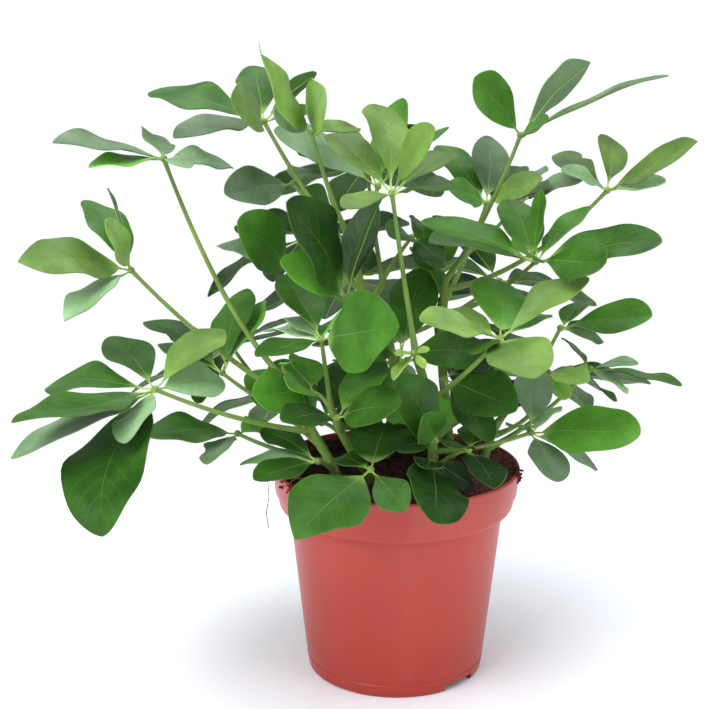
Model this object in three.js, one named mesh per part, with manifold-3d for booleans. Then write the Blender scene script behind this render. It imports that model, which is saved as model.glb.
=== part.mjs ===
// A dwarf umbrella plant in a round nursery pot. Millimetres, +Z up.
// The origin is the middle of the pot's flat base, and -Y is the side that is seen first.

import * as THREE from "three";
import { mergeVertices } from "three/addons/utils/BufferGeometryUtils.js";
import Module from "manifold-3d";

const wasm = await Module();
wasm.setup();

// Pot: a tapered body under a tall collar, with drain notches round the foot.
const POT_HEIGHT = 103;
const RIM_RADIUS = 60;
const COLLAR_FOOT = 81.5;
const COLLAR_RADIUS = 57.2;
const COLLAR_ROUND = 4.8;
const COLLAR_STEPS = 3;
const COLLAR_LINE = 90.4;
const COLLAR_LINE_STEP = 0.5;
const BODY_TOP_RADIUS = 51.9;
const FOOT_RADIUS = 43.1;
const FOOT_CHAMFER = 1.4;
const WALL = 1.8;
const FLOOR = 2.2;
const POT_SIDES = 36;
const NOTCHES = 2;
const NOTCH_WIDTH = 19;
const NOTCH_HEIGHT = 3.4;
const NOTCH_INNER_RADIUS = 34;
const NOTCH_OUTER_RADIUS = 49;
const NOTCH_FIRST_ANGLE = 315;

// How much wider the body and the collar grow for each millimetre of height.
const BODY_SLOPE = (BODY_TOP_RADIUS - FOOT_RADIUS) / (COLLAR_FOOT - FOOT_CHAMFER);
const COLLAR_SLOPE = (RIM_RADIUS - COLLAR_RADIUS) / (POT_HEIGHT - COLLAR_FOOT);

// Soil: it fills the pot to a low uneven mound just under the rim. Its rings are shares of the
// rim's radius, and its waves are in radians for each millimetre.
const FIT_GAP = 0.3;
const SOIL_EDGE = 95.5;
const SOIL_CROWN = 98;
const SOIL_LUMP = 1.2;
const SOIL_RINGS = [0.8, 0.6, 0.36, 0];
const SOIL_WAVE_X = 0.31;
const SOIL_WAVE_Y = 0.27;
const SOIL_SIDES = 24;
const HOLE_GAP = 0.4;
const HOLE_SIDES = 8;
const HOLE_OVERSHOOT = 3;

// Leaf stalks, hubs and leaflets.
const STALK_BASE_RADIUS = 1.4;
const STALK_TOP_RADIUS = 0.85;
const STALK_SIDES = 4;
const STALK_STEPS = 4;
const HUB_RADIUS = 3.2;
const ROOT_DEPTH = 1.6;
const LEAFLET_STEM_HALF = 0.7;
const BLADE_THICKNESS = 0.8;
const BLADE_WIDTH = 0.45;
const BLADE_ARCH = 0.035;
const BLADE_FOLD = 0.13;
const BLADE_WAVE = 0.035;
const WAVE_TURNS = 9;
const WAVE_SHIFT = 1.7;

// A leaflet's little stem takes this share of its length, and its blade is widest past the middle.
const STEM_SHARE = 0.12;
const WIDEST_POWER = 1.05;
const BASE_TAPER = 0.8;
const TIP_TAPER = 0.65;
const BLADE_STATIONS = [
  { along: 0, points: 2 },
  { along: 0.16, points: 2 },
  { along: 0.4, points: 2 },
  { along: 0.7, points: 3 },
  { along: 0.96, points: 2 },
];

// Room kept between neighbours while the leaves are laid out.
const BEAD_STEP = 3.2;
const LIMB_BEAD_STEP = 2.5;
const LIMB_ROOM = 0.35;
const BLADE_ROOM = 1.8;
const HUB_ROOM = 0.6;
const WIDEST_ROOM = 3;
const SOIL_ROOM = 1.5;
const WALL_ROOM = 2.5;
const SIBLING_START = 0.36;
const OWN_CANE_ROOM = 9.6;
const OWN_CANE_PARTING = 15.4;

// The ways that a leaflet or a stalk is turned aside where its straight way isn't free.
const BEND_STEP = 5;
const BEND_RINGS = 8;
const BENDS_A_RING = 10;
const SHORTENINGS = [1, 0.9, 0.8];
const SHORTENING_COST = 60;
const DEPTH_COST = 0.3;
const SWAYS = [0, 5, -5, 10, -10, 15, -15, 20, -20];
const DIPS = [0, 4, -4, 8, -8];

const MERGE_DISTANCE = 1e-4;
const CURVE_SAMPLES = 400;
const SCATTER_FIRST = 127.1;
const SCATTER_SECOND = 311.7;
const SCATTER_STRETCH = 43758.5453;

const FINISHES = {
  pot: { color: "#c05040", roughness: 0.45 },
  soil: { color: "#2b1d16", roughness: 0.95 },
  cane: { color: "#7d8f4a", roughness: 0.7 },
  dark: { color: "#1f5a24", roughness: 0.4 },
  mid: { color: "#2f7a2e", roughness: 0.4 },
  young: { color: "#6f9a45", roughness: 0.45 },
};

// Canes: where each stands in the soil, the points that it rises through, and its radii.
const CANE_DEPTH = 62;
const CANE_SIDES = 6;
const CANE_STEPS = 9;
const CANES = {
  left: { foot: [-27, -22], rise: [[-32, -23, 112], [-41, -23, 128], [-48, -18, 142], [-54, -12, 155]] },
  inner: { foot: [-12, -16], rise: [[-19, -21, 112], [-27, -26, 128], [-32, -27, 141]] },
  shoot: { foot: [17, -24], rise: [[16, -26, 122], [13, -30, 146], [7, -35, 168]] },
  tall: { foot: [-5, 16], rise: [[-2, 9, 128], [-7, 9, 152], [-16, 8, 185], [-24, 5, 216]] },
  right: { foot: [27, 9], rise: [[25, 11, 125], [22, 14, 160], [24, 15, 192]] },
  low: { foot: [40, -8], rise: [[44, -3, 112], [49, 3, 124]] },
  back: { foot: [4, 38], rise: [[2, 41, 125], [-3, 44, 158], [-6, 47, 185]] },
};
const CANE_RADIUS = 3;
const CANE_TIP_RADIUS = 2;

// New growth at the tip of a cane: a tuft of small leaflets, each turned on from the last.
const TUFTS = {
  left: { count: 5, length: 11, rise: 50, first: 10, turn: 72 },
};
const TUFT_LENGTH_SCATTER = 0.25;
const TUFT_RISE_SCATTER = 12;

// One row for each compound leaf: the cane that it grows from and how high, how far its stalk
// sags below a straight line, the hub's place, the way its crown faces (compass and lean from
// upright), and for each leaflet its compass heading, its rise and its length, then where they
// differ from the usual its width, its roll about its own length and its sweep to one side.
const FRONDS = [
  {
    name: "left_low", cane: "left", height: 126, sag: 3, tone: "mid",
    hub: [-108, -55, 155], faces: [265, 22],
    leaflets: [
      [258, -31, 80, 1.15, 20, -0.09], [225, 0, 72, 1, 10, 0.1], [219, -13, 70, 0.9, 20, 0.12],
      [151, -4, 62, 1, 5], [119, 13, 56, 0.9, 15], [63, 18, 50, 1, -5], [51, 5, 42, 1.1, 25],
      [265, -3, 46, 1, 30],
    ],
  },
  {
    name: "left_mid", cane: "left", height: 139, sag: 5, tone: "mid",
    hub: [-123, -15, 201], faces: [265, 30],
    leaflets: [
      [227, 13, 60, 1, -15], [237, -7, 54, 0.8, 20], [127, 36, 50, 1, 30], [260, 42, 40, 0.9, -85],
      [124, 46, 40, 0.7, 85],
    ],
  },
  {
    name: "left_high", cane: "left", height: 147, sag: 14, tone: "mid",
    hub: [-109, 5, 250], faces: [270, 6],
    leaflets: [
      [224, 12, 60, 0.85, -10], [232, 0, 46, 0.85, -5], [106, 12, 44, 0.9, 25],
      [48, -8, 44, 0.9, 25], [300, 0, 30, 0.9, 5],
    ],
  },
  {
    name: "top_left", cane: "tall", height: 206, sag: 4, tone: "mid",
    hub: [-63, 20, 266], faces: [265, 20],
    leaflets: [
      [161, 13, 62], [222, -4, 52], [252, 19, 38, 1.4, -65], [101, 35, 46], [66, 34, 44, 0.6, -75],
      [54, 18, 34, 0.8, -5],
    ],
  },
  {
    name: "top_mid", cane: "tall", height: 214, sag: 3, tone: "young",
    hub: [-40, -5, 263], faces: [270, 24],
    leaflets: [
      [238, 43, 52, 1.05, -50, 0.12], [283, 36, 36, 1.5, 85], [51, 0, 34, 1, 5],
      [257, 26, 26, 1, -70],
    ],
  },
  {
    name: "top_centre", cane: "shoot", height: 166, sag: 2, tone: "young",
    hub: [-4, -45, 240], faces: [268, 24],
    leaflets: [
      [97, 48, 50, 1.1, 30], [301, 46, 42, 1, 55], [42, 23, 44, 1, -10], [130, 29, 48, 1, 15],
      [235, -3, 36, 1, 10], [307, 14, 38],
    ],
  },
  {
    name: "top_behind", cane: "tall", height: 200, sag: 1, tone: "mid",
    hub: [-9, 22, 235], faces: [268, 26],
    leaflets: [
      [206, 31, 64, 0.9, -5], [62, 58, 48, 1, -25], [30, 36, 48, 0.8, -35], [121, 42, 46, 1, 30],
    ],
  },
  {
    name: "mid_left", cane: "tall", height: 160, sag: 2, tone: "mid",
    hub: [-24, -15, 188], faces: [270, 30],
    leaflets: [
      [74, 46, 48, 1, -30], [302, 55, 60, 0.55, -35], [228, 30, 46, 1, -30],
      [223, 57, 62, 1.4, -15], [122, 13, 34, 1, 15],
    ],
  },
  {
    name: "centre_left", cane: "inner", height: 138, sag: 1, tone: "mid",
    hub: [-35, -40, 174], faces: [280, 40],
    leaflets: [
      [303, 16, 60, 1.3, 55], [114, 25, 50, 1, 20], [81, 18, 42, 1, -55], [117, 11, 32, 1, 15],
      [133, -11, 48, 0.8, 15], [237, 2, 48, 0.8, 25],
    ],
  },
  {
    name: "left_in", cane: "left", height: 133, sag: 3, tone: "mid",
    hub: [-84, 5, 147], faces: [260, 25],
    leaflets: [
      [144, 23, 54, 1, 25, -0.06], [143, 13, 46, 1, 25], [77, 42, 52, 1, -25], [65, 34, 50, 1, -30],
    ],
  },
  {
    name: "left_under", cane: "left", height: 111, sag: 2, tone: "dark",
    hub: [-76, -10, 121], faces: [268, 40],
    leaflets: [
      [220, 12, 50, 1, 15], [248, 0, 36, 1, 25], [68, -8, 36, 1, 5],
    ],
  },
  {
    name: "pot_left", cane: "left", height: 105, sag: -1, tone: "dark",
    hub: [-37, -34, 115], faces: [262, 44],
    leaflets: [
      [161, -5, 40, 0.9, 35], [227, 2, 40, 1, 10], [133, 4, 36, 1, 25],
    ],
  },
  {
    name: "front_low", cane: "inner", height: 106, sag: -1, tone: "mid",
    hub: [-13, -58, 119], faces: [268, 52],
    leaflets: [
      [237, -13, 60, 1.25, 15], [289, -11, 34, 1.1], [88, 0, 46, 1.4, -10], [114, -1, 34, 1, 20],
    ],
  },
  {
    name: "front_right", cane: "shoot", height: 112, sag: -3, tone: "mid",
    hub: [15, -47, 119], faces: [270, 55],
    leaflets: [
      [268, -9, 52, 1.3, -25], [246, 9, 30, 1, 5], [54, -14, 34, 1, -15],
    ],
  },
  {
    name: "rim_right", cane: "shoot", height: 107, sag: -2, tone: "dark",
    hub: [32, -36, 121], faces: [275, 50],
    leaflets: [
      [280, -4, 44, 1, -20], [244, 2, 36, 1, 30], [60, -8, 36, 1, -25],
    ],
  },
  {
    name: "centre_low", cane: "shoot", height: 126, sag: -2, tone: "dark",
    hub: [17, -37, 126], faces: [270, 60],
    leaflets: [
      [235, 51, 46, 1.1, 15], [281, 40, 42, 1, -30], [251, 2, 26, 1, 25],
    ],
  },
  {
    name: "centre_right", cane: "shoot", height: 142, sag: 2, tone: "mid",
    hub: [44, -50, 177], faces: [268, 30],
    leaflets: [
      [85, 26, 56, 1.5, 20], [36, 22, 52, 0.9, -20], [282, -6, 46, 1.4, 5], [217, 17, 48, 1, 5],
      [132, 9, 46, 1, 20], [243, -10, 30, 1, 20], [50, 11, 46, 1, -15],
    ],
  },
  {
    name: "right_mid", cane: "right", height: 173, sag: 4, tone: "mid",
    hub: [63, -15, 205], faces: [270, 30],
    leaflets: [
      [49, 28, 44, 1, -35], [107, 25, 50, 1.1, 5], [302, 7, 48, 1, 30], [325, 14, 59],
      [142, 15, 60, 1, 20], [205, 11, 60, 0.9, 20], [271, -10, 40, 1, -25], [75, 43, 34, 0.8, -60],
    ],
  },
  {
    name: "right_high", cane: "right", height: 186, sag: 9, tone: "mid",
    hub: [100, 15, 234], faces: [270, 25],
    leaflets: [
      [311, 28, 56, 0.9, 20, -0.04], [124, 23, 40], [78, 32, 42, 1, 30], [308, 16, 34, 0.8, 10],
      [220, 22, 34, 0.9, -15],
    ],
  },
  {
    name: "top_right", cane: "right", height: 191, sag: 6, tone: "mid",
    hub: [58, 15, 260], faces: [270, 28],
    leaflets: [
      [225, 39, 44, 1.35, -55], [31, 40, 52, 1.15, -85], [321, 22, 80, 0.5, -10],
      [290, 18, 28, 1, 40],
    ],
  },
  {
    name: "back_right_in", cane: "right", height: 180, sag: 3, tone: "dark",
    hub: [46, 50, 223], faces: [268, 26],
    leaflets: [
      [124, 34, 48, 1.1, 10], [83, 46, 44, 1.1, 25], [301, 18, 40, 1, 35], [233, 19, 36, 1, -40],
      [51, 33, 44, 1, -5],
    ],
  },
  {
    name: "back_right_out", cane: "back", height: 176, sag: 8, tone: "mid",
    hub: [65, 62, 223], faces: [270, 20],
    leaflets: [
      [72, 18, 42, 1, -25], [306, 20, 50, 1, 15], [284, 16, 44, 1, 30],
    ],
  },
  {
    name: "right_out", cane: "low", height: 122, sag: 4, tone: "mid",
    hub: [80, 15, 167], faces: [272, 38],
    leaflets: [
      [316, 16, 52, 1, 5], [60, 12, 36, 1, -35], [44, -18, 36, 1, -5],
    ],
  },
  {
    name: "right_low", cane: "low", height: 111, sag: 4, tone: "mid",
    hub: [97, 25, 144], faces: [300, 10],
    leaflets: [
      [302, 18, 34, 0.7, 20], [295, -3, 34, 0.7, -10], [315, -1, 50, 0.7, -5],
      [106, 16, 34, 0.6, 30],
    ],
  },
  {
    name: "right_bottom", cane: "shoot", height: 117, sag: 2, tone: "mid",
    hub: [62, -25, 126], faces: [268, 48],
    leaflets: [
      [319, 11, 58, 1.05, -10], [84, 23, 46, 1, 15], [28, -30, 46, 1, -35], [280, -14, 42, 1, -25],
      [55, 13, 30, 0.8, -40], [109, -9, 34, 1, 20],
    ],
  },
  {
    name: "right_back_low", cane: "low", height: 106, sag: -2, tone: "young",
    hub: [77, 30, 141], faces: [290, 35],
    leaflets: [
      [292, 8, 36, 1, 20], [286, -8, 36, 1, -5],
    ],
  },
  {
    name: "centre_dark", cane: "right", height: 138, sag: 0, tone: "dark",
    hub: [22, -6, 147], faces: [268, 48],
    leaflets: [
      [308, -5, 50, 1.1, 5], [286, -18, 40, 1, -20], [63, 5, 42, 1, -10],
    ],
  },
  {
    name: "low_left_centre", cane: "inner", height: 127, sag: 0, tone: "mid",
    hub: [-28, -45, 139], faces: [268, 48],
    leaflets: [
      [237, 14, 42, 1, 15], [308, 21, 46, 1.1], [66, 21, 46, 1, -20],
    ],
  },
  {
    name: "left_centre", cane: "inner", height: 133, sag: -3, tone: "dark",
    hub: [-40, -12, 142], faces: [262, 40],
    leaflets: [
      [226, 23, 44, 1.1, -30], [100, 13, 42, 1, 35], [248, 6, 40, 1, -25],
    ],
  },
  {
    name: "upper_left_in", cane: "tall", height: 196, sag: -2, tone: "dark",
    hub: [-50, 25, 236], faces: [262, 40],
    leaflets: [
      [231, 0, 46, 1.05, -25], [79, 7, 34, 1, 10], [63, -20, 42, 1, 50],
    ],
  },
  {
    name: "left_inner", cane: "tall", height: 168, sag: -2, tone: "dark",
    hub: [-51, 0, 200], faces: [258, 42],
    leaflets: [
      [240, 34, 46, 1.35, -55], [139, 9, 48, 1, 30],
    ],
  },
  {
    name: "centre_back_up", cane: "back", height: 168, sag: 0, tone: "dark",
    hub: [15, 38, 196], faces: [265, 38],
    leaflets: [
      [248, 13, 34, 1.2, -35], [93, 25, 42, 1, 40], [282, 37, 36, 1, 75], [79, -32, 30, 1, 85],
    ],
  },
  {
    name: "shoot_young", cane: "shoot", height: 160, sag: 0, tone: "young",
    hub: [6, -49, 170], faces: [270, 62],
    leaflets: [
      [237, -20, 22, 0.8, 55], [251, -27, 15, 1.2, 55], [226, 12, 12, 0.8], [35, 7, 9, 0.8],
      [317, -39, 9],
    ],
  },
  {
    name: "heart_right", cane: "shoot", height: 121, sag: -3, tone: "dark",
    hub: [40, 4, 126], faces: [268, 48],
    leaflets: [
      [100, 44, 48, 1.1], [168, 22, 46, 1.1], [60, 22, 44], [250, -2, 40, 1.1], [355, 8, 40],
    ],
  },
  {
    name: "heart_left", cane: "inner", height: 121, sag: -2, tone: "dark",
    hub: [-36, -2, 124], faces: [266, 46],
    leaflets: [
      [130, 30, 46, 1.1], [70, 40, 46, 1.1], [190, 12, 44, 1.1], [30, 10, 40],
    ],
  },
  {
    name: "heart_front", cane: "tall", height: 112, sag: -2, tone: "dark",
    hub: [-2, -12, 118], faces: [268, 50],
    leaflets: [
      [116, 12, 44, 1.1, 20], [69, 15, 44, 1.1, -25], [89, 24, 44, 1.1, -25],
    ],
  },
  {
    name: "heart_mid", cane: "tall", height: 136, sag: -2, tone: "dark",
    hub: [2, 0, 158], faces: [268, 44],
    leaflets: [
      [120, 40, 46, 1.1], [60, 36, 46, 1.1], [200, 10, 44, 1.1], [340, 6, 42, 1.1],
      [262, -24, 40],
    ],
  },
  {
    name: "heart_high", cane: "tall", height: 178, sag: -2, tone: "dark",
    hub: [7, 12, 212], faces: [266, 40],
    leaflets: [
      [242, 12, 34, 1, -20], [289, -2, 30, 1, 10],
    ],
  },
  {
    name: "centre_back", cane: "right", height: 154, sag: -2, tone: "dark",
    hub: [22, 20, 180], faces: [268, 40],
    leaflets: [
      [123, 3, 34, 1, -10], [63, 8, 36, 1, -5],
    ],
  },
];

// Compound leaves on the far side, each an even crown that leans away from the middle.
const FAR_FRONDS = [
  { name: "far_left_low", cane: "left", height: 119, hub: [-84, 52, 150] },
  { name: "far_left_high", cane: "tall", height: 188, hub: [-46, 66, 204] },
  { name: "far_back_high", cane: "back", height: 182, hub: [-14, 78, 240] },
  { name: "far_back_mid", cane: "back", height: 162, hub: [-22, 92, 178] },
  { name: "far_back_low", cane: "back", height: 128, hub: [8, 84, 134] },
  { name: "far_right_mid", cane: "back", height: 154, hub: [58, 92, 176] },
  { name: "far_right_low", cane: "low", height: 117, hub: [80, 68, 132] },
  { name: "far_left_rim", cane: "back", height: 118, hub: [-52, 68, 122] },
];
const FAR_LEAFLETS = 6;
const FAR_LENGTH = 54;
const FAR_LENGTH_SCATTER = 0.14;
const FAR_TURN_SCATTER = 20;
const FAR_LEAN = 30;
const FAR_SAG = 4;
const FAR_DROOP = 6;
const FAR_DARK_EVERY = 3;

const radians = THREE.MathUtils.degToRad;
const { clamp, lerp } = THREE.MathUtils;

// A unit vector from a compass heading and a rise above the level, in degrees.
function direction(heading, rise) {
  const level = Math.cos(radians(rise));
  return new THREE.Vector3(
    level * Math.cos(radians(heading)),
    level * Math.sin(radians(heading)),
    Math.sin(radians(rise)),
  );
}

// Repeatable scatter between -1 and 1 from two whole numbers.
function scatter(first, second) {
  const wave = Math.sin(first * SCATTER_FIRST + second * SCATTER_SECOND) * SCATTER_STRETCH;
  return 2 * (wave - Math.floor(wave)) - 1;
}

// A closed solid from a geometry that is one closed body.
function solidFrom(geometry) {
  const bare = geometry.clone();
  bare.deleteAttribute("normal");
  bare.deleteAttribute("uv");
  const merged = mergeVertices(bare, MERGE_DISTANCE);
  return new wasm.Manifold(
    new wasm.Mesh({
      numProp: 3,
      vertProperties: new Float32Array(merged.attributes.position.array),
      triVerts: new Uint32Array(merged.index.array),
    }),
  );
}

// The largest single body of a solid, as a geometry, with loose scraps dropped.
function geometryFrom(solid) {
  const pieces = solid.decompose().sort((a, b) => b.volume() - a.volume());
  const mesh = pieces[0].getMesh();
  const geometry = new THREE.BufferGeometry();
  geometry.setAttribute("position", new THREE.BufferAttribute(mesh.vertProperties, 3));
  geometry.setIndex(new THREE.BufferAttribute(mesh.triVerts, 1));
  const flat = geometry.toNonIndexed();
  flat.computeVertexNormals();
  return flat;
}

// A closed geometry from points and the corners of its triangles.
function shellFrom(points, faces) {
  const geometry = new THREE.BufferGeometry();
  const positions = points.flatMap((point) => point.toArray());
  geometry.setAttribute("position", new THREE.Float32BufferAttribute(positions, 3));
  geometry.setIndex(faces);
  return geometry;
}

// A solid turned round the upright axis from pairs of radius and height.
function turnedGeometry(profile, sides) {
  const points = profile.map(([radius, z]) => new THREE.Vector2(radius, z));
  return new THREE.LatheGeometry(points, sides).rotateX(Math.PI / 2);
}

// A closed tube round a curve whose radius runs from one value to another.
function limb(curve, startRadius, endRadius, sides, steps) {
  const frames = curve.computeFrenetFrames(steps, false);
  const points = [];
  const faces = [];
  for (let i = 0; i <= steps; i += 1) {
    const centre = curve.getPointAt(i / steps);
    const radius = lerp(startRadius, endRadius, i / steps);
    for (let j = 0; j < sides; j += 1) {
      const turn = (2 * Math.PI * j) / sides;
      const point = centre
        .clone()
        .addScaledVector(frames.normals[i], radius * Math.cos(turn))
        .addScaledVector(frames.binormals[i], radius * Math.sin(turn));
      points.push(point);
    }
  }
  for (let i = 0; i < steps; i += 1) {
    for (let j = 0; j < sides; j += 1) {
      const a = i * sides + j;
      const b = i * sides + ((j + 1) % sides);
      faces.push(a, b, b + sides, a, b + sides, a + sides);
    }
  }
  const last = steps * sides;
  for (let j = 1; j < sides - 1; j += 1) {
    faces.push(0, j + 1, j);
    faces.push(last, last + j, last + j + 1);
  }
  return shellFrom(points, faces);
}

// The half width of a leaflet, as a share of its widest, part way along it.
function halfWidth(along) {
  const blade = clamp((along - STEM_SHARE) / (1 - STEM_SHARE), 0, 1);
  const taper = lerp(BASE_TAPER, TIP_TAPER, blade);
  return Math.max(0, Math.sin(Math.PI * blade ** WIDEST_POWER)) ** taper;
}

// A leaflet's own frame: along it, across it and out of its upper face.
function leafletFrame(frond, [heading, rise, length, width = 1, roll = 0, sweep = 0], wave) {
  const along = direction(heading, rise);
  const up = direction(frond.faces[0], 90 - frond.faces[1]);
  const out = up.addScaledVector(along, -up.dot(along)).normalize();
  out.applyAxisAngle(along, radians(roll));
  const across = new THREE.Vector3().crossVectors(out, along);
  return { hub: new THREE.Vector3(...frond.hub), along, across, out, length, width, sweep, wave };
}

// A point on a leaflet's upper face: s runs from hub to tip, t from edge to edge.
function bladePoint(leaf, s, t) {
  const half = (halfWidth(s) * BLADE_WIDTH * leaf.width * leaf.length) / 2;
  const bow = leaf.sweep * leaf.length * Math.sin(Math.PI * s);
  const sideways = t * Math.max(half, LEAFLET_STEM_HALF) + bow;
  const arch = BLADE_ARCH * leaf.length * Math.sin(Math.PI * s);
  const fold = BLADE_FOLD * half * Math.abs(t);
  const wave = BLADE_WAVE * half * 2 * Math.sin(WAVE_TURNS * s + leaf.wave) * t;
  return leaf.hub
    .clone()
    .addScaledVector(leaf.along, s * leaf.length)
    .addScaledVector(leaf.across, sideways)
    .addScaledVector(leaf.out, arch + fold + wave);
}

// A leaflet as a thin closed blade, split into triangles alike on both faces.
function leafletGeometry(leaf) {
  const rows = BLADE_STATIONS.map(({ along, points }) => {
    const s = Math.max(along, ROOT_DEPTH / leaf.length);
    const places = points === 2 ? [-1, 1] : [-1, 0, 1];
    return places.map((t) => bladePoint(leaf, s, t));
  });
  const starts = [];
  const top = [];
  for (const row of rows) {
    starts.push(top.length);
    top.push(...row);
  }
  const faces = [];
  const count = top.length;
  const both = (a, b, c) => faces.push(a, b, c, a + count, c + count, b + count);
  for (let i = 0; i < rows.length - 1; i += 1) {
    const a = starts[i];
    const b = starts[i + 1];
    both(a, b, b + 1);
    both(a, b + 1, a + 1);
    if (rows[i + 1].length === 3) {
      both(a + 1, b + 1, b + 2);
    }
    if (rows[i].length === 3) {
      both(a + 1, b + 1, a + 2);
    }
  }
  const right = starts.map((start, i) => start + rows[i].length - 1);
  const rim = [...starts, ...right.reverse()];
  for (let i = 0; i < rim.length; i += 1) {
    const a = rim[i];
    const b = rim[(i + 1) % rim.length];
    faces.push(a, a + count, b + count, a, b + count, b);
  }
  const under = top.map((point) => point.clone().addScaledVector(leaf.out, -BLADE_THICKNESS));
  return shellFrom([...top, ...under], faces);
}

// Beads stand for a piece while the leaves are laid out: points, each with the room it needs.
function bladeBeads(leaf) {
  const beads = [];
  const rows = Math.ceil(leaf.length / BEAD_STEP);
  for (let i = 1; i <= rows; i += 1) {
    const s = i / rows;
    const half = (halfWidth(s) * BLADE_WIDTH * leaf.width * leaf.length) / 2;
    const columns = Math.max(1, Math.ceil((2 * half) / BEAD_STEP));
    for (let j = 0; j <= columns; j += 1) {
      const t = half < LEAFLET_STEM_HALF ? 0 : (2 * j) / columns - 1;
      beads.push({ at: bladePoint(leaf, s, t), room: BLADE_ROOM, s });
    }
  }
  return beads;
}

function limbBeads(curve, startRadius, endRadius) {
  const beads = [];
  const count = Math.ceil(curve.getLength() / LIMB_BEAD_STEP);
  for (let i = 0; i <= count; i += 1) {
    const s = i / count;
    const room = lerp(startRadius, endRadius, s) + LIMB_ROOM;
    beads.push({ at: curve.getPointAt(s), room, s });
  }
  return beads;
}

function isClear(beads, others) {
  for (const a of beads) {
    for (const b of others) {
      const room = a.room + b.room;
      if (Math.abs(a.at.x - b.at.x) < room && a.at.distanceToSquared(b.at) < room * room) return false;
    }
  }
  return true;
}

function boundsOf(beads) {
  return new THREE.Box3().setFromPoints(beads.map((bead) => bead.at)).expandByScalar(WIDEST_ROOM);
}

// Everything that is already placed, each entry with its beads and the box round them.
const placed = [];

function place(owner, kind, beads) {
  placed.push({ owner, kind, beads, box: boundsOf(beads) });
}

function hasRoom(beads, skip) {
  const box = boundsOf(beads);
  return placed.every((other) => {
    return skip(other) || !box.intersectsBox(other.box) || isClear(beads, other.beads);
  });
}

// Blades stay out of the pot's wall and clear of the soil.
function clearOfPot(beads) {
  return beads.every(({ at }) => {
    const radius = Math.hypot(at.x, at.y);
    if (at.z > POT_HEIGHT + SOIL_ROOM) return true;
    if (radius < RIM_RADIUS - WALL - WALL_ROOM) return at.z > SOIL_CROWN + SOIL_LUMP + SOIL_ROOM;
    return radius > RIM_RADIUS + BLADE_ROOM;
  });
}

function potGeometry() {
  const lineRadius = COLLAR_RADIUS + COLLAR_SLOPE * (COLLAR_LINE - COLLAR_FOOT);
  const profile = [
    [0, 0],
    [FOOT_RADIUS - FOOT_CHAMFER, 0],
    [FOOT_RADIUS, FOOT_CHAMFER],
    [BODY_TOP_RADIUS, COLLAR_FOOT],
  ];
  for (let i = 1; i <= COLLAR_STEPS; i += 1) {
    const turn = (Math.PI * i) / (2 * COLLAR_STEPS);
    profile.push([
      BODY_TOP_RADIUS + (COLLAR_RADIUS - BODY_TOP_RADIUS) * Math.sin(turn),
      COLLAR_FOOT + COLLAR_ROUND * (1 - Math.cos(turn)),
    ]);
  }
  profile.push(
    [lineRadius, COLLAR_LINE],
    [lineRadius + COLLAR_LINE_STEP, COLLAR_LINE + COLLAR_LINE_STEP],
    [RIM_RADIUS, POT_HEIGHT - WALL / 2],
    [RIM_RADIUS - WALL / 4, POT_HEIGHT],
    [RIM_RADIUS - WALL, POT_HEIGHT],
    [COLLAR_RADIUS - WALL, COLLAR_FOOT + WALL + COLLAR_ROUND / 2],
    [BODY_TOP_RADIUS - WALL, COLLAR_FOOT + WALL],
    [FOOT_RADIUS + BODY_SLOPE * FLOOR - WALL, FLOOR],
    [0, FLOOR],
  );
  let pot = solidFrom(turnedGeometry(profile, POT_SIDES));
  const reach = NOTCH_OUTER_RADIUS - NOTCH_INNER_RADIUS;
  for (let i = 0; i < NOTCHES; i += 1) {
    const notch = new THREE.BoxGeometry(reach, NOTCH_WIDTH, NOTCH_HEIGHT * 2);
    notch.translate(NOTCH_INNER_RADIUS + reach / 2, 0, 0);
    notch.rotateZ(radians(NOTCH_FIRST_ANGLE) + (2 * Math.PI * i) / NOTCHES);
    pot = pot.subtract(solidFrom(notch));
  }
  return geometryFrom(pot);
}

// The curve of a cane: straight in the soil, then through its points.
function caneCurve({ foot, rise }) {
  const straight = [CANE_DEPTH, CANE_DEPTH / 2, CANE_RADIUS * 2, -CANE_RADIUS / 2];
  const places = [...straight.map((depth) => [...foot, SOIL_CROWN - depth]), ...rise];
  const points = places.map((place) => new THREE.Vector3(...place));
  return new THREE.CatmullRomCurve3(points, false, "centripetal");
}

// The height of the soil's surface: a low mound with gentle lumps.
function soilTop(x, y) {
  const share = Math.min(1, Math.hypot(x, y) / RIM_RADIUS);
  const mound = (SOIL_CROWN - SOIL_EDGE) * Math.cos((Math.PI / 2) * share);
  const lump = SOIL_LUMP * Math.sin(SOIL_WAVE_X * x + 1) * Math.cos(SOIL_WAVE_Y * y);
  return SOIL_EDGE + mound + lump * (1 - share ** 4);
}

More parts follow.
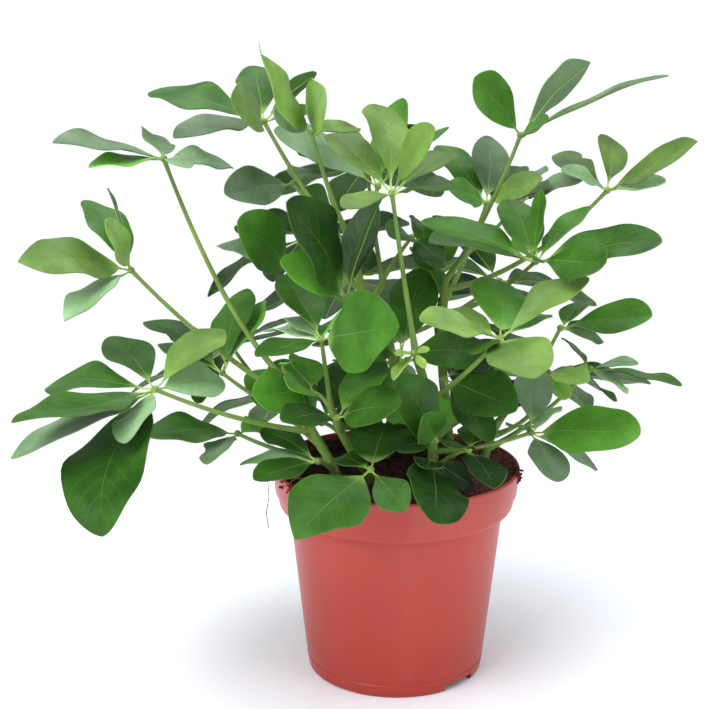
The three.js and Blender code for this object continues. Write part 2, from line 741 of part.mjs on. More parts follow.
function soilGeometry() {
  const wallGap = WALL + FIT_GAP + RIM_RADIUS * (1 - Math.cos(Math.PI / POT_SIDES));
  const profile = [
    [0, FLOOR + FIT_GAP],
    [FOOT_RADIUS + BODY_SLOPE * FLOOR - wallGap, FLOOR + FIT_GAP],
    [BODY_TOP_RADIUS - wallGap, COLLAR_FOOT + WALL + FIT_GAP],
    [COLLAR_RADIUS - wallGap, COLLAR_FOOT + WALL + COLLAR_ROUND / 2 + FIT_GAP],
    [COLLAR_RADIUS + COLLAR_SLOPE * (SOIL_EDGE - COLLAR_FOOT) - wallGap, SOIL_EDGE],
    ...SOIL_RINGS.map((share) => [RIM_RADIUS * share, SOIL_CROWN]),
  ];
  const turned = turnedGeometry(profile, SOIL_SIDES);
  const position = turned.attributes.position;
  for (let i = 0; i < position.count; i += 1) {
    if (position.getZ(i) > SOIL_EDGE + FIT_GAP) {
      position.setZ(i, soilTop(position.getX(i), position.getY(i)));
    }
  }
  let soil = solidFrom(turned);
  const depth = CANE_DEPTH + SOIL_LUMP + HOLE_OVERSHOOT;
  const radius = (CANE_RADIUS + HOLE_GAP) / Math.cos(Math.PI / HOLE_SIDES);
  for (const { foot } of Object.values(CANES)) {
    const hole = new THREE.CylinderGeometry(radius, radius, depth, HOLE_SIDES);
    hole.rotateX(Math.PI / 2);
    hole.translate(...foot, SOIL_CROWN - CANE_DEPTH - FIT_GAP + depth / 2);
    soil = soil.subtract(solidFrom(hole));
  }
  return geometryFrom(soil);
}

// Small leaflets at the tip of a cane, as a crown like the others.
function tuftFrond(name, { count, length, rise, first, turn }) {
  const leaflets = [];
  for (let i = 0; i < count; i += 1) {
    leaflets.push([
      first + turn * i,
      rise + TUFT_RISE_SCATTER * scatter(i, count),
      length * (1 + TUFT_LENGTH_SCATTER * scatter(i, 2 * count)),
    ]);
  }
  return { name, hub: CANES[name].rise.at(-1), faces: [0, 0], leaflets };
}

function mesh(name, geometry, finish) {
  const material = new THREE.MeshStandardMaterial({ ...FINISHES[finish], metalness: 0, flatShading: true });
  const made = new THREE.Mesh(geometry, material);
  made.name = name;
  return made;
}

// A stalk's curve from inside the cane to the hub, dipped and swayed sideways at its middle.
function stalkCurve(start, hub, dip, sway) {
  const middle = start.clone().lerp(hub, 0.5);
  const run = hub.clone().sub(start);
  const side = new THREE.Vector3(-run.y, run.x, 0).normalize();
  const control = middle.addScaledVector(side, sway).add(new THREE.Vector3(0, 0, -2 * dip));
  return new THREE.QuadraticBezierCurve3(start, control, hub);
}

// The point of a cane's middle line at a height.
function caneAt(cane, height) {
  const points = caneCurve(cane).getSpacedPoints(CURVE_SAMPLES);
  return points.reduce((best, point) => {
    return Math.abs(point.z - height) < Math.abs(best.z - height) ? point : best;
  });
}

function routeStalk(frond) {
  const start = caneAt(CANES[frond.cane], frond.height);
  const hub = new THREE.Vector3(...frond.hub);
  const cane = placed.find((other) => other.owner === frond.cane && other.kind === "cane");
  const skip = (other) => other === cane || other.owner === frond.name;
  for (const dip of DIPS) {
    for (const sway of SWAYS) {
      const curve = stalkCurve(start, hub, frond.sag + dip, sway);
      const beads = limbBeads(curve, STALK_BASE_RADIUS, STALK_TOP_RADIUS);
      const past = (room) => beads.filter((bead) => bead.at.distanceTo(start) > room);
      if (hasRoom(past(OWN_CANE_ROOM), skip) && isClear(past(OWN_CANE_PARTING), cane.beads)) {
        place(frond.name, "stalk", beads.slice(0, -2));
        return curve;
      }
    }
  }
  throw new Error(`${frond.name}: its stalk finds no way`);
}

// The ways that a leaflet may be turned, lifted and shortened.
function bends() {
  const list = [];
  for (const shortening of SHORTENINGS) {
    for (let ring = 0; ring <= BEND_RINGS; ring += 1) {
      const count = ring === 0 ? 1 : BENDS_A_RING;
      for (let i = 0; i < count; i += 1) {
        const turn = (2 * Math.PI * (i + ring / 2)) / count;
        const reach = ring * BEND_STEP;
        list.push([reach * Math.cos(turn), reach * Math.sin(turn), shortening]);
      }
    }
  }
  return list;
}
const BENDS = bends();

// The same leaflet bent each way, the one that moves its tip least in the front view first.
function bentLeaflets(frond, [heading, rise, length, ...form], wave) {
  const straight = direction(heading, rise).multiplyScalar(length);
  const list = BENDS.map(([turn, lift, shortening]) => {
    const row = [heading + turn, rise + lift, length * shortening, ...form];
    const leaf = leafletFrame(frond, row, wave);
    const shift = leaf.along.clone().multiplyScalar(length).sub(straight);
    const cost = Math.hypot(shift.x, shift.y * DEPTH_COST, shift.z) + SHORTENING_COST * (1 - shortening);
    return { leaf, cost };
  });
  return list.sort((a, b) => a.cost - b.cost).map((entry) => entry.leaf);
}

// A leaflet bent by the least that leaves it clear, or nothing where no bend does.
function fitLeaflet(frond, index, row) {
  const own = (other) => other.owner === frond.name;
  const siblings = placed.filter((other) => own(other) && ["blade", "stalk"].includes(other.kind));
  const outerHalf = (beads) => beads.filter((bead) => bead.s >= SIBLING_START);
  for (const leaf of bentLeaflets(frond, row, index * WAVE_SHIFT + frond.hub[0])) {
    const beads = bladeBeads(leaf);
    const apart = siblings.every((other) => isClear(outerHalf(beads), outerHalf(other.beads)));
    if (apart && clearOfPot(beads) && hasRoom(beads, own)) {
      place(frond.name, "blade", beads);
      return leaf;
    }
  }
  return null;
}

// The blades of a crown, as solids.
function crownBlades(frond) {
  const leaves = frond.leaflets.map((row, index) => fitLeaflet(frond, index, row));
  return leaves.filter(Boolean).map((leaf) => solidFrom(leafletGeometry(leaf)));
}

// An even crown that leans outward from the plant's middle.
function farFrond(row, index) {
  const outward = THREE.MathUtils.radToDeg(Math.atan2(row.hub[1], row.hub[0]));
  const leaflets = [];
  for (let i = 0; i < FAR_LEAFLETS; i += 1) {
    const turn = (360 * i) / FAR_LEAFLETS + FAR_TURN_SCATTER * scatter(index, i);
    const rise = -FAR_LEAN * Math.cos(radians(turn)) - FAR_DROOP;
    const length = FAR_LENGTH * (1 + FAR_LENGTH_SCATTER * scatter(i, index + FAR_LEAFLETS));
    leaflets.push([outward + turn, rise, length]);
  }
  const tone = index % FAR_DARK_EVERY === 0 ? "dark" : "mid";
  return { ...row, sag: FAR_SAG, faces: [outward, FAR_LEAN], leaflets, tone };
}

// A cane with some room round it, as a solid.
function caneSolid(cane, room) {
  const radii = [CANE_RADIUS + room, CANE_TIP_RADIUS + room];
  return solidFrom(limb(caneCurve(cane), ...radii, CANE_SIDES, CANE_STEPS));
}

function stalkSolid(frond) {
  const radii = [STALK_BASE_RADIUS, STALK_TOP_RADIUS];
  const whole = solidFrom(limb(frond.stalk, ...radii, STALK_SIDES, STALK_STEPS));
  return whole.subtract(caneSolid(CANES[frond.cane], FIT_GAP));
}

const plant = new THREE.Group();
plant.add(mesh("pot", potGeometry(), "pot"));
plant.add(mesh("soil", soilGeometry(), "soil"));

const fronds = [...FRONDS, ...FAR_FRONDS.map(farFrond)];
for (const [name, cane] of Object.entries(CANES)) {
  place(name, "cane", limbBeads(caneCurve(cane), CANE_RADIUS, CANE_TIP_RADIUS));
}
for (const frond of fronds) {
  const at = new THREE.Vector3(...frond.hub);
  place(frond.name, "hub", [{ at, room: HUB_RADIUS + HUB_ROOM, s: 0 }]);
}
for (const frond of fronds) {
  frond.stalk = routeStalk(frond);
}
for (const [name, cane] of Object.entries(CANES)) {
  const tuft = TUFTS[name] ? crownBlades(tuftFrond(name, TUFTS[name])) : [];
  const whole = wasm.Manifold.union([caneSolid(cane, 0), ...tuft]);
  plant.add(mesh(`cane_${name}`, geometryFrom(whole), "cane"));
}
for (const frond of fronds) {
  const hub = solidFrom(new THREE.OctahedronGeometry(HUB_RADIUS).translate(...frond.hub));
  const whole = wasm.Manifold.union([stalkSolid(frond), hub, ...crownBlades(frond)]);
  plant.add(mesh(`frond_${frond.name}`, geometryFrom(whole), frond.tone));
}

export default plant;
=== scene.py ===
"""A dwarf umbrella plant in its nursery pot: leaves, canes, peat, pot and a pale studio."""

import math
import random

import bpy
import numpy as np
from bpy.props import FloatProperty, FloatVectorProperty, IntProperty, PointerProperty
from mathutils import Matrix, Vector, kdtree, noise


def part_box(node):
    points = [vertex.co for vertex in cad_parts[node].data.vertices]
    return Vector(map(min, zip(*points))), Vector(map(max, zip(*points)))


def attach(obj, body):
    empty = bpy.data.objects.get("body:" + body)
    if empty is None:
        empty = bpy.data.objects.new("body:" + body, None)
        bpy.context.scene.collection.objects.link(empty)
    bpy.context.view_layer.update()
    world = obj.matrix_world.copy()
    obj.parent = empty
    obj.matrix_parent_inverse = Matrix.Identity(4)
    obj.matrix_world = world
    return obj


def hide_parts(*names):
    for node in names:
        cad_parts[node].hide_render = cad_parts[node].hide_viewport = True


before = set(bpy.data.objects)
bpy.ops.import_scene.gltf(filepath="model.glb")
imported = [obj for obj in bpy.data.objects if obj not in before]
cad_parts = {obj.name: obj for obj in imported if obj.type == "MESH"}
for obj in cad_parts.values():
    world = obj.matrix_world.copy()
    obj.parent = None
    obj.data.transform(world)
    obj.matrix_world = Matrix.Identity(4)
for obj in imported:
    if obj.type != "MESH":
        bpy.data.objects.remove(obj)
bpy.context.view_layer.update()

bl_info = {
    "name": "Potted umbrella plant",
    "version": (1, 0, 0),
    "blender": (4, 5, 0),
    "location": "View3D > Sidebar > Umbrella plant",
    "description": "Dresses the solids of a potted umbrella plant as leaves, canes, peat and pot",
    "category": "Object",
}

MM = 0.001

# The plant's own measures, in millimetres and degrees, as its solids have them.
SOIL_CROWN = 98
SOIL_EDGE = 95.5
SOIL_LUMP = 1.2
SOIL_WAVE_X = 0.31
SOIL_WAVE_Y = 0.27
CANE_DEPTH = 62
CANE_RADIUS = 3
CANE_TIP_RADIUS = 2
STALK_BASE_RADIUS = 1.4
STALK_TOP_RADIUS = 0.85
STALK_STEPS = 4
BLADE_WIDTH = 0.45
BLADE_ARCH = 0.035
BLADE_FOLD = 0.13
BLADE_WAVE = 0.035
WAVE_TURNS = 9
WAVE_SHIFT = 1.7
STEM_HALF = 0.7
STEM_SHARE = 0.12
WIDEST_POWER = 1.05
BASE_TAPER = 0.8
TIP_TAPER = 0.65
BEND_STEP = 5
BEND_RINGS = 8
BENDS_A_RING = 10
SHORTENINGS = (1, 0.9, 0.8)
SWAYS = (0, 5, -5, 10, -10, 15, -15, 20, -20)
DIPS = (0, 4, -4, 8, -8)
ARC_STEPS = 200
CURVE_SAMPLES = 400

# How the solids' own scatter comes from two whole numbers.
SCATTER = (127.1, 311.7, 43758.5453)

# A leaflet of the solids is known by corners of its blade at these places along and across it:
# so many have to be there, within a gap in millimetres.
KNOWN_ROWS = ((0.96, -1), (0.96, 1), (0.7, -1), (0.7, 0), (0.7, 1))
KNOWN_LEAST = 4
KNOWN_GAP = 0.03
# A stalk is known by the corners of one of its rings, of which so many have to be there.
KNOWN_RING = 2
KNOWN_STALK_LEAST = 3

# Where each cane leaves the soil, and the points that it rises through.
CANES = {
    "left": {
        "foot": (-27, -22),
        "rise": ((-32, -23, 112), (-41, -23, 128), (-48, -18, 142), (-54, -12, 155)),
    },
    "inner": {"foot": (-12, -16), "rise": ((-19, -21, 112), (-27, -26, 128), (-32, -27, 141))},
    "shoot": {"foot": (17, -24), "rise": ((16, -26, 122), (13, -30, 146), (7, -35, 168))},
    "tall": {"foot": (-5, 16), "rise": ((-2, 9, 128), (-7, 9, 152), (-16, 8, 185), (-24, 5, 216))},
    "right": {"foot": (27, 9), "rise": ((25, 11, 125), (22, 14, 160), (24, 15, 192))},
    "low": {"foot": (40, -8), "rise": ((44, -3, 112), (49, 3, 124))},
    "back": {"foot": (4, 38), "rise": ((2, 41, 125), (-3, 44, 158), (-6, 47, 185))},
}
# New growth on a cane's tip, as a small crown of leaflets.
TUFTS = {"left": {"count": 5, "length": 11, "rise": 50, "first": 10, "turn": 72}}
TUFT_LENGTH_SCATTER = 0.25
TUFT_RISE_SCATTER = 12


def compound(cane, height, sag, hub, faces, marks, *leaflets):
    """A compound leaf: its cane and how high it grows there, how far its stalk sags, its hub, the
    way its crown faces, and each leaflet's compass heading, rise, length, width, roll and bow."""
    return {
        "cane": cane, "height": height, "sag": sag, "hub": hub, "faces": faces,
        "marks": marks.split(), "leaflets": leaflets,
    }


# One row for each compound leaf, as its solid has it. Each leaflet's mark starts with how light it
# is, from 0 to 9. This is partly its own tone and partly painted shade and light: darker where it
# lies in the plant's shade, lighter where it catches the light. Letters follow: y is yellowish,
# partly young growth and partly painted light shining through it; yy lime; g grey, partly wax and a
# pale underside and partly a painted reflection of the white surroundings; p runs out to a point, s
# is broadest near the tip, n is slim, w is broad but starts narrow, o is narrow but starts broad, b
# has a bite out of one edge and t has a tip withered to a thread.
FRONDS = {
    "left_low": compound(
        "left", 126, 3, (-108, -55, 155), (265, 22), "3o 4p 6gp 4s 4 6y 8g 7g",
        (258, -31, 80, 1.15, 20, -0.09), (225, 0, 72, 1, 10, 0.1), (219, -13, 70, 0.9, 20, 0.12),
        (151, -4, 62, 1, 5), (119, 13, 56, 0.9, 15), (63, 18, 50, 1, -5), (51, 5, 42, 1.1, 25),
        (265, -3, 46, 1, 30),
    ),
    "left_mid": compound(
        "left", 139, 5, (-123, -15, 201), (265, 30), "6yp 8gp 5 8y 4g",
        (227, 13, 60, 1, -15), (237, -7, 54, 0.8, 20), (127, 36, 50, 1, 30), (260, 42, 40, 0.9, -85),
        (124, 46, 40, 0.7, 85),
    ),
    "left_high": compound(
        "left", 147, 14, (-109, 5, 250), (270, 6), "5gp 9p 6g 7g 7g",
        (224, 12, 60, 0.85, -10), (232, 0, 46, 0.85, -5), (106, 12, 44, 0.9, 25), (48, -8, 44, 0.9, 25),
        (300, 0, 30, 0.9, 5),
    ),
    "top_left": compound(
        "tall", 206, 4, (-63, 20, 266), (265, 20), "4 4g 6y 3 4 4",
        (161, 13, 62), (222, -4, 52), (252, 19, 38, 1.4, -65), (101, 35, 46), (66, 34, 44, 0.6, -75),
        (54, 18, 34, 0.8, -5),
    ),
    "top_mid": compound(
        "tall", 214, 3, (-40, -5, 263), (270, 24), "7ypnt 7y 5y 7g",
        (238, 43, 52, 1.05, -50, 0.12), (283, 36, 36, 1.5, 85), (51, 0, 34, 1, 5), (257, 26, 26, 1, -70),
    ),
    "top_centre": compound(
        "shoot", 166, 2, (-4, -45, 240), (268, 24), "6ys 6ys 4ys 6ys 5y 3",
        (97, 48, 50, 1.1, 30), (301, 46, 42, 1, 55), (42, 23, 44, 1, -10), (130, 29, 48, 1, 15),
        (235, -3, 36, 1, 10), (307, 14, 38),
    ),
    "top_behind": compound(
        "tall", 200, 1, (-9, 22, 235), (268, 26), "6g 5 5 5y",
        (206, 31, 64, 0.9, -5), (62, 58, 48, 1, -25), (30, 36, 48, 0.8, -35), (121, 42, 46, 1, 30),
    ),
    "mid_left": compound(
        "tall", 160, 2, (-24, -15, 188), (270, 30), "3g 2 7 3 6",
        (74, 46, 48, 1, -30), (302, 55, 60, 0.55, -35), (228, 30, 46, 1, -30), (223, 57, 62, 1.4, -15),
        (122, 13, 34, 1, 15),
    ),
    "centre_left": compound(
        "inner", 138, 1, (-35, -40, 174), (280, 40), "5 4 9 7g 9g 4",
        (303, 16, 60, 1.3, 55), (114, 25, 50, 1, 20), (81, 18, 42, 1, -55), (117, 11, 32, 1, 15),
        (133, -11, 48, 0.8, 15), (237, 2, 48, 0.8, 25),
    ),
    "left_in": compound(
        "left", 133, 3, (-84, 5, 147), (260, 25), "3b 5 5 9",
        (144, 23, 54, 1, 25, -0.06), (143, 13, 46, 1, 25), (77, 42, 52, 1, -25), (65, 34, 50, 1, -30),
    ),
    "left_under": compound(
        "left", 111, 2, (-76, -10, 121), (268, 40), "4 6gb 9",
        (220, 12, 50, 1, 15), (248, 0, 36, 1, 25), (68, -8, 36, 1, 5),
    ),
    "pot_left": compound(
        "left", 105, -1, (-37, -34, 115), (262, 44), "8g 3 3",
        (161, -5, 40, 0.9, 35), (227, 2, 40, 1, 10), (133, 4, 36, 1, 25),
    ),
    "front_low": compound(
        "inner", 106, -1, (-13, -58, 119), (268, 52), "4pw 4s 3 3",
        (237, -13, 60, 1.25, 15), (289, -11, 34, 1.1), (88, 0, 46, 1.4, -10), (114, -1, 34, 1, 20),
    ),
    "front_right": compound(
        "shoot", 112, -3, (15, -47, 119), (270, 55), "2 0 0",
        (268, -9, 52, 1.3, -25), (246, 9, 30, 1, 5), (54, -14, 34, 1, -15),
    ),
    "rim_right": compound(
        "shoot", 107, -2, (32, -36, 121), (275, 50), "1 3 4",
        (280, -4, 44, 1, -20), (244, 2, 36, 1, 30), (60, -8, 36, 1, -25),
    ),
    "centre_low": compound(
        "shoot", 126, -2, (17, -37, 126), (270, 60), "4 5 3",
        (235, 51, 46, 1.1, 15), (281, 40, 42, 1, -30), (251, 2, 26, 1, 25),
    ),
    "centre_right": compound(
        "shoot", 142, 2, (44, -50, 177), (268, 30), "6 7y 5y 7y 7y 4 7",
        (85, 26, 56, 1.5, 20), (36, 22, 52, 0.9, -20), (282, -6, 46, 1.4, 5), (217, 17, 48, 1, 5),
        (132, 9, 46, 1, 20), (243, -10, 30, 1, 20), (50, 11, 46, 1, -15),
    ),
    "right_mid": compound(
        "right", 173, 4, (63, -15, 205), (270, 30), "6 4 4s 4 5 4 5 5",
        (49, 28, 44, 1, -35), (107, 25, 50, 1.1, 5), (302, 7, 48, 1, 30), (325, 14, 59),
        (142, 15, 60, 1, 20), (205, 11, 60, 0.9, 20), (271, -10, 40, 1, -25), (75, 43, 34, 0.8, -60),
    ),
    "right_high": compound(
        "right", 186, 9, (100, 15, 234), (270, 25), "5yp 4ysb 5ys 9g 7g",
        (311, 28, 56, 0.9, 20, -0.04), (124, 23, 40), (78, 32, 42, 1, 30), (308, 16, 34, 0.8, 10),
        (220, 22, 34, 0.9, -15),
    ),
    "top_right": compound(
        "right", 191, 6, (58, 15, 260), (270, 28), "5sn 5gp 5gp 5",
        (225, 39, 44, 1.35, -55), (31, 40, 52, 1.15, -85), (321, 22, 80, 0.5, -10), (290, 18, 28, 1, 40),
    ),
    "back_right_in": compound(
        "right", 180, 3, (46, 50, 223), (268, 26), "4 4g 6y 5 3",
        (124, 34, 48, 1.1, 10), (83, 46, 44, 1.1, 25), (301, 18, 40, 1, 35), (233, 19, 36, 1, -40),
        (51, 33, 44, 1, -5),
    ),
    "back_right_out": compound(
        "back", 176, 8, (65, 62, 223), (270, 20), "5g 6g 4",
        (72, 18, 42, 1, -25), (306, 20, 50, 1, 15), (284, 16, 44, 1, 30),
    ),
    "right_out": compound(
        "low", 122, 4, (80, 15, 167), (272, 38), "6s 4 4",
        (316, 16, 52, 1, 5), (60, 12, 36, 1, -35), (44, -18, 36, 1, -5),
    ),
    "right_low": compound(
        "low", 111, 4, (97, 25, 144), (300, 10), "7g 9g 4 4",
        (302, 18, 34, 0.7, 20), (295, -3, 34, 0.7, -10), (315, -1, 50, 0.7, -5), (106, 16, 34, 0.6, 30),
    ),
    "right_bottom": compound(
        "shoot", 117, 2, (62, -25, 126), (268, 48), "6 5gb 5g 4g 9g 9",
        (319, 11, 58, 1.05, -10), (84, 23, 46, 1, 15), (28, -30, 46, 1, -35), (280, -14, 42, 1, -25),
        (55, 13, 30, 0.8, -40), (109, -9, 34, 1, 20),
    ),
    "right_back_low": compound(
        "low", 106, -2, (77, 30, 141), (290, 35), "9yb 9yb",
        (292, 8, 36, 1, 20), (286, -8, 36, 1, -5),
    ),
    "centre_dark": compound(
        "right", 138, 0, (22, -6, 147), (268, 48), "4 3 1",
        (308, -5, 50, 1.1, 5), (286, -18, 40, 1, -20), (63, 5, 42, 1, -10),
    ),
    "low_left_centre": compound(
        "inner", 127, 0, (-28, -45, 139), (268, 48), "3 4 5",
        (237, 14, 42, 1, 15), (308, 21, 46, 1.1), (66, 21, 46, 1, -20),
    ),
    "left_centre": compound(
        "inner", 133, -3, (-40, -12, 142), (262, 40), "6 6 6",
        (226, 23, 44, 1.1, -30), (100, 13, 42, 1, 35), (248, 6, 40, 1, -25),
    ),
    "upper_left_in": compound(
        "tall", 196, -2, (-50, 25, 236), (262, 40), "5g 6g 5",
        (231, 0, 46, 1.05, -25), (79, 7, 34, 1, 10), (63, -20, 42, 1, 50),
    ),
    "left_inner": compound(
        "tall", 168, -2, (-51, 0, 200), (258, 42), "5 6g",
        (240, 34, 46, 1.35, -55), (139, 9, 48, 1, 30),
    ),
    "centre_back_up": compound(
        "back", 168, 0, (15, 38, 196), (265, 38), "5 4 7 5",
        (248, 13, 34, 1.2, -35), (93, 25, 42, 1, 40), (282, 37, 36, 1, 75), (79, -32, 30, 1, 85),
    ),
    "shoot_young": compound(
        "shoot", 160, 0, (6, -49, 170), (270, 62), "9yy 8yy 8yy 7yy 9yy",
        (237, -20, 22, 0.8, 55), (251, -27, 15, 1.2, 55), (226, 12, 12, 0.8), (35, 7, 9, 0.8),
        (317, -39, 9),
    ),
    "heart_right": compound(
        "shoot", 121, -3, (40, 4, 126), (268, 48), "3 7 7 3 3",
        (100, 44, 48, 1.1), (168, 22, 46, 1.1), (60, 22, 44), (250, -2, 40, 1.1), (355, 8, 40),
    ),
    "heart_left": compound(
        "inner", 121, -2, (-36, -2, 124), (266, 46), "5 3 6 0",
        (130, 30, 46, 1.1), (70, 40, 46, 1.1), (190, 12, 44, 1.1), (30, 10, 40),
    ),
    "heart_front": compound(
        "tall", 112, -2, (-2, -12, 118), (268, 50), "7 3 3",
        (116, 12, 44, 1.1, 20), (69, 15, 44, 1.1, -25), (89, 24, 44, 1.1, -25),
    ),
    "heart_mid": compound(
        "tall", 136, -2, (2, 0, 158), (268, 44), "5g 4 3 4 6",
        (120, 40, 46, 1.1), (60, 36, 46, 1.1), (200, 10, 44, 1.1), (340, 6, 42, 1.1), (262, -24, 40),
    ),
    "heart_high": compound(
        "tall", 178, -2, (7, 12, 212), (266, 40), "3 3",
        (242, 12, 34, 1, -20), (289, -2, 30, 1, 10),
    ),
    "centre_back": compound(
        "right", 154, -2, (22, 20, 180), (268, 40), "3 0",
        (123, 3, 34, 1, -10), (63, 8, 36, 1, -5),
    ),
}
FAR_FRONDS = {
    "far_left_low": {"cane": "left", "height": 119, "hub": (-84, 52, 150)},
    "far_left_high": {"cane": "tall", "height": 188, "hub": (-46, 66, 204)},
    "far_back_high": {"cane": "back", "height": 182, "hub": (-14, 78, 240)},
    "far_back_mid": {"cane": "back", "height": 162, "hub": (-22, 92, 178)},
    "far_back_low": {"cane": "back", "height": 128, "hub": (8, 84, 134)},
    "far_right_mid": {"cane": "back", "height": 154, "hub": (58, 92, 176)},
    "far_right_low": {"cane": "low", "height": 117, "hub": (80, 68, 132)},
    "far_left_rim": {"cane": "back", "height": 118, "hub": (-52, 68, 122)},
}
# The crowns on the far side: their leaflets, in millimetres and degrees, and their marks.
FAR_LEAFLETS = 6
FAR_LENGTH = 54
FAR_LENGTH_SCATTER = 0.14
FAR_TURN_SCATTER = 20
FAR_LEAN = 30
FAR_SAG = 4
FAR_DROOP = 6
FAR_DARK_EVERY = 3
FAR_DARK = "3"
FAR_LIGHT = "4"
TUFT_MARK = "8y"

# How a blade narrows to its base and to its tip, and the power that moves its widest part.
TAPERS = (BASE_TAPER, TIP_TAPER, WIDEST_POWER)


def direction(heading, rise):
    """A unit vector from a compass heading and a rise above the level, in degrees."""
    level = math.cos(math.radians(rise))
    turn = math.radians(heading)
    return np.array((level * math.cos(turn), level * math.sin(turn), math.sin(math.radians(rise))))


def scatter(first, second):
    """Repeatable scatter between -1 and 1 from two whole numbers, as the solids have it."""
    wave = math.sin(first * SCATTER[0] + second * SCATTER[1]) * SCATTER[2]
    return 2 * (wave - math.floor(wave)) - 1


def spaced(curve, count):
    """Points evenly spaced along a curve, which is a function of a share from 0 to 1."""
    shares = np.linspace(0, 1, ARC_STEPS + 1)
    ends = np.array([curve(share) for share in shares])
    lengths = np.concatenate(([0], np.cumsum(np.linalg.norm(np.diff(ends, axis=0), axis=1))))
    even = np.interp(np.linspace(0, lengths[-1], count + 1), lengths, shares)
    return np.array([curve(share) for share in even])


def cane_curve(cane):
    """A cane's middle line: straight in the soil, then smoothly through its points."""
    depths = (CANE_DEPTH, CANE_DEPTH / 2, CANE_RADIUS * 2, -CANE_RADIUS / 2)
    places = [(*cane["foot"], SOIL_CROWN - depth) for depth in depths] + list(cane["rise"])
    points = np.array(places, float)
    run = np.vstack((2 * points[0] - points[1], points, 2 * points[-1] - points[-2]))

    def at(share):
        place = share * (len(points) - 1)
        index = min(int(place), len(points) - 2)
        p0, p1, p2, p3 = run[index : index + 4]
        d0, d1, d2 = (np.sum((b - a) ** 2) ** 0.25 for a, b in ((p0, p1), (p1, p2), (p2, p3)))
        start = ((p1 - p0) / d0 - (p2 - p0) / (d0 + d1) + (p2 - p1) / d1) * d1
        end = ((p2 - p1) / d1 - (p3 - p1) / (d1 + d2) + (p3 - p2) / d2) * d1
        w = place - index
        square = -3 * p1 + 3 * p2 - 2 * start - end
        cube = 2 * p1 - 2 * p2 + start + end
        return p1 + start * w + square * w**2 + cube * w**3

    return at


def cane_at(cane, height):
    """The point of a cane's middle line at a height."""
    points = spaced(cane_curve(cane), CURVE_SAMPLES)
    return points[np.argmin(np.abs(points[:, 2] - height))]


def stalk_curve(start, hub, dip, sway):
    """A stalk's curve from inside the cane to the hub, dipped and swayed at its middle."""
    run = hub - start
    side = np.array((-run[1], run[0], 0)) / math.hypot(run[0], run[1])
    control = (start + hub) / 2 + side * sway + np.array((0, 0, -2 * dip))
    return lambda share: (1 - share) ** 2 * start + 2 * (1 - share) * share * control + share**2 * hub


def half_width(along, tapers=TAPERS):
    """A leaflet's half width part way along it, as a share of its widest."""
    blade = np.clip((along - STEM_SHARE) / (1 - STEM_SHARE), 0, 1)
    base, tip, peak = tapers
    return np.maximum(0, np.sin(math.pi * blade**peak)) ** (base + (tip - base) * blade)


def leaflet_frame(frond, row, wave):
    """A leaflet's own frame: along it, across it and out of its upper face."""
    heading, rise, length, width, roll, sweep = (*row, *(1, 0, 0)[len(row) - 3 :])
    along = direction(heading, rise)
    up = direction(frond["faces"][0], 90 - frond["faces"][1])
    out = up - along * up.dot(along)
    out /= np.linalg.norm(out)
    turn = math.radians(roll)
    out = out * math.cos(turn) + np.cross(along, out) * math.sin(turn)
    across = np.cross(out, along)
    hub = np.array(frond["hub"], float)
    return {
        "hub": hub, "along": along, "across": across, "out": out,
        "length": length, "width": width, "sweep": sweep, "wave": wave,
    }


def blade_points(leaf, s, t, droop=0.0, tapers=TAPERS):
    """Points on a leaflet's upper face: s runs from hub to tip, t from edge to edge."""
    half = half_width(s, tapers) * BLADE_WIDTH * leaf["width"] * leaf["length"] / 2
    sideways = t * np.maximum(half, STEM_HALF) + leaf["sweep"] * leaf["length"] * np.sin(math.pi * s)
    arch = BLADE_ARCH * leaf["length"] * np.sin(math.pi * s)
    fold = BLADE_FOLD * half * np.abs(t)
    wave = BLADE_WAVE * half * 2 * np.sin(WAVE_TURNS * s + leaf["wave"]) * t
    lift = arch + fold + wave - droop
    place = leaf["hub"] + np.multiply.outer(s * leaf["length"], leaf["along"])
    return place + np.multiply.outer(sideways, leaf["across"]) + np.multiply.outer(lift, leaf["out"])


def bends():
    """The ways that a leaflet may be turned, lifted and shortened."""
    made = []
    for shortening in SHORTENINGS:
        for ring in range(BEND_RINGS + 1):
            count = BENDS_A_RING if ring else 1
            for i in range(count):
                turn = 2 * math.pi * (i + ring / 2) / count
                reach = ring * BEND_STEP
                made.append((reach * math.cos(turn), reach * math.sin(turn), shortening))
    return made


BENDS = bends()


def corners_of(node):
    """A search tree of a solid's corners, in millimetres."""
    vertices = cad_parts[node].data.vertices
    tree = kdtree.KDTree(len(vertices))
    for index, vertex in enumerate(vertices):
        tree.insert(vertex.co / MM, index)
    tree.balance()
    return tree


def seated_leaflet(frond, index, row, corners):
    """The leaflet as the solid holds it, bent by one of the ways, or None if the solid lacks it."""
    s, t = np.array(KNOWN_ROWS).T
    for turn, lift, shortening in BENDS:
        bent = (row[0] + turn, row[1] + lift, row[2] * shortening, *row[3:])
        leaf = leaflet_frame(frond, bent, index * WAVE_SHIFT + frond["hub"][0])
        found = [corners.find(point)[2] < KNOWN_GAP for point in blade_points(leaf, s, t)]
        if sum(found) >= KNOWN_LEAST:
            return leaf
    return None


def seated_crown(frond, corners):
    """All the leaflets of a crown, each as the solid holds it or None."""
    return [seated_leaflet(frond, index, row, corners) for index, row in enumerate(frond["leaflets"])]


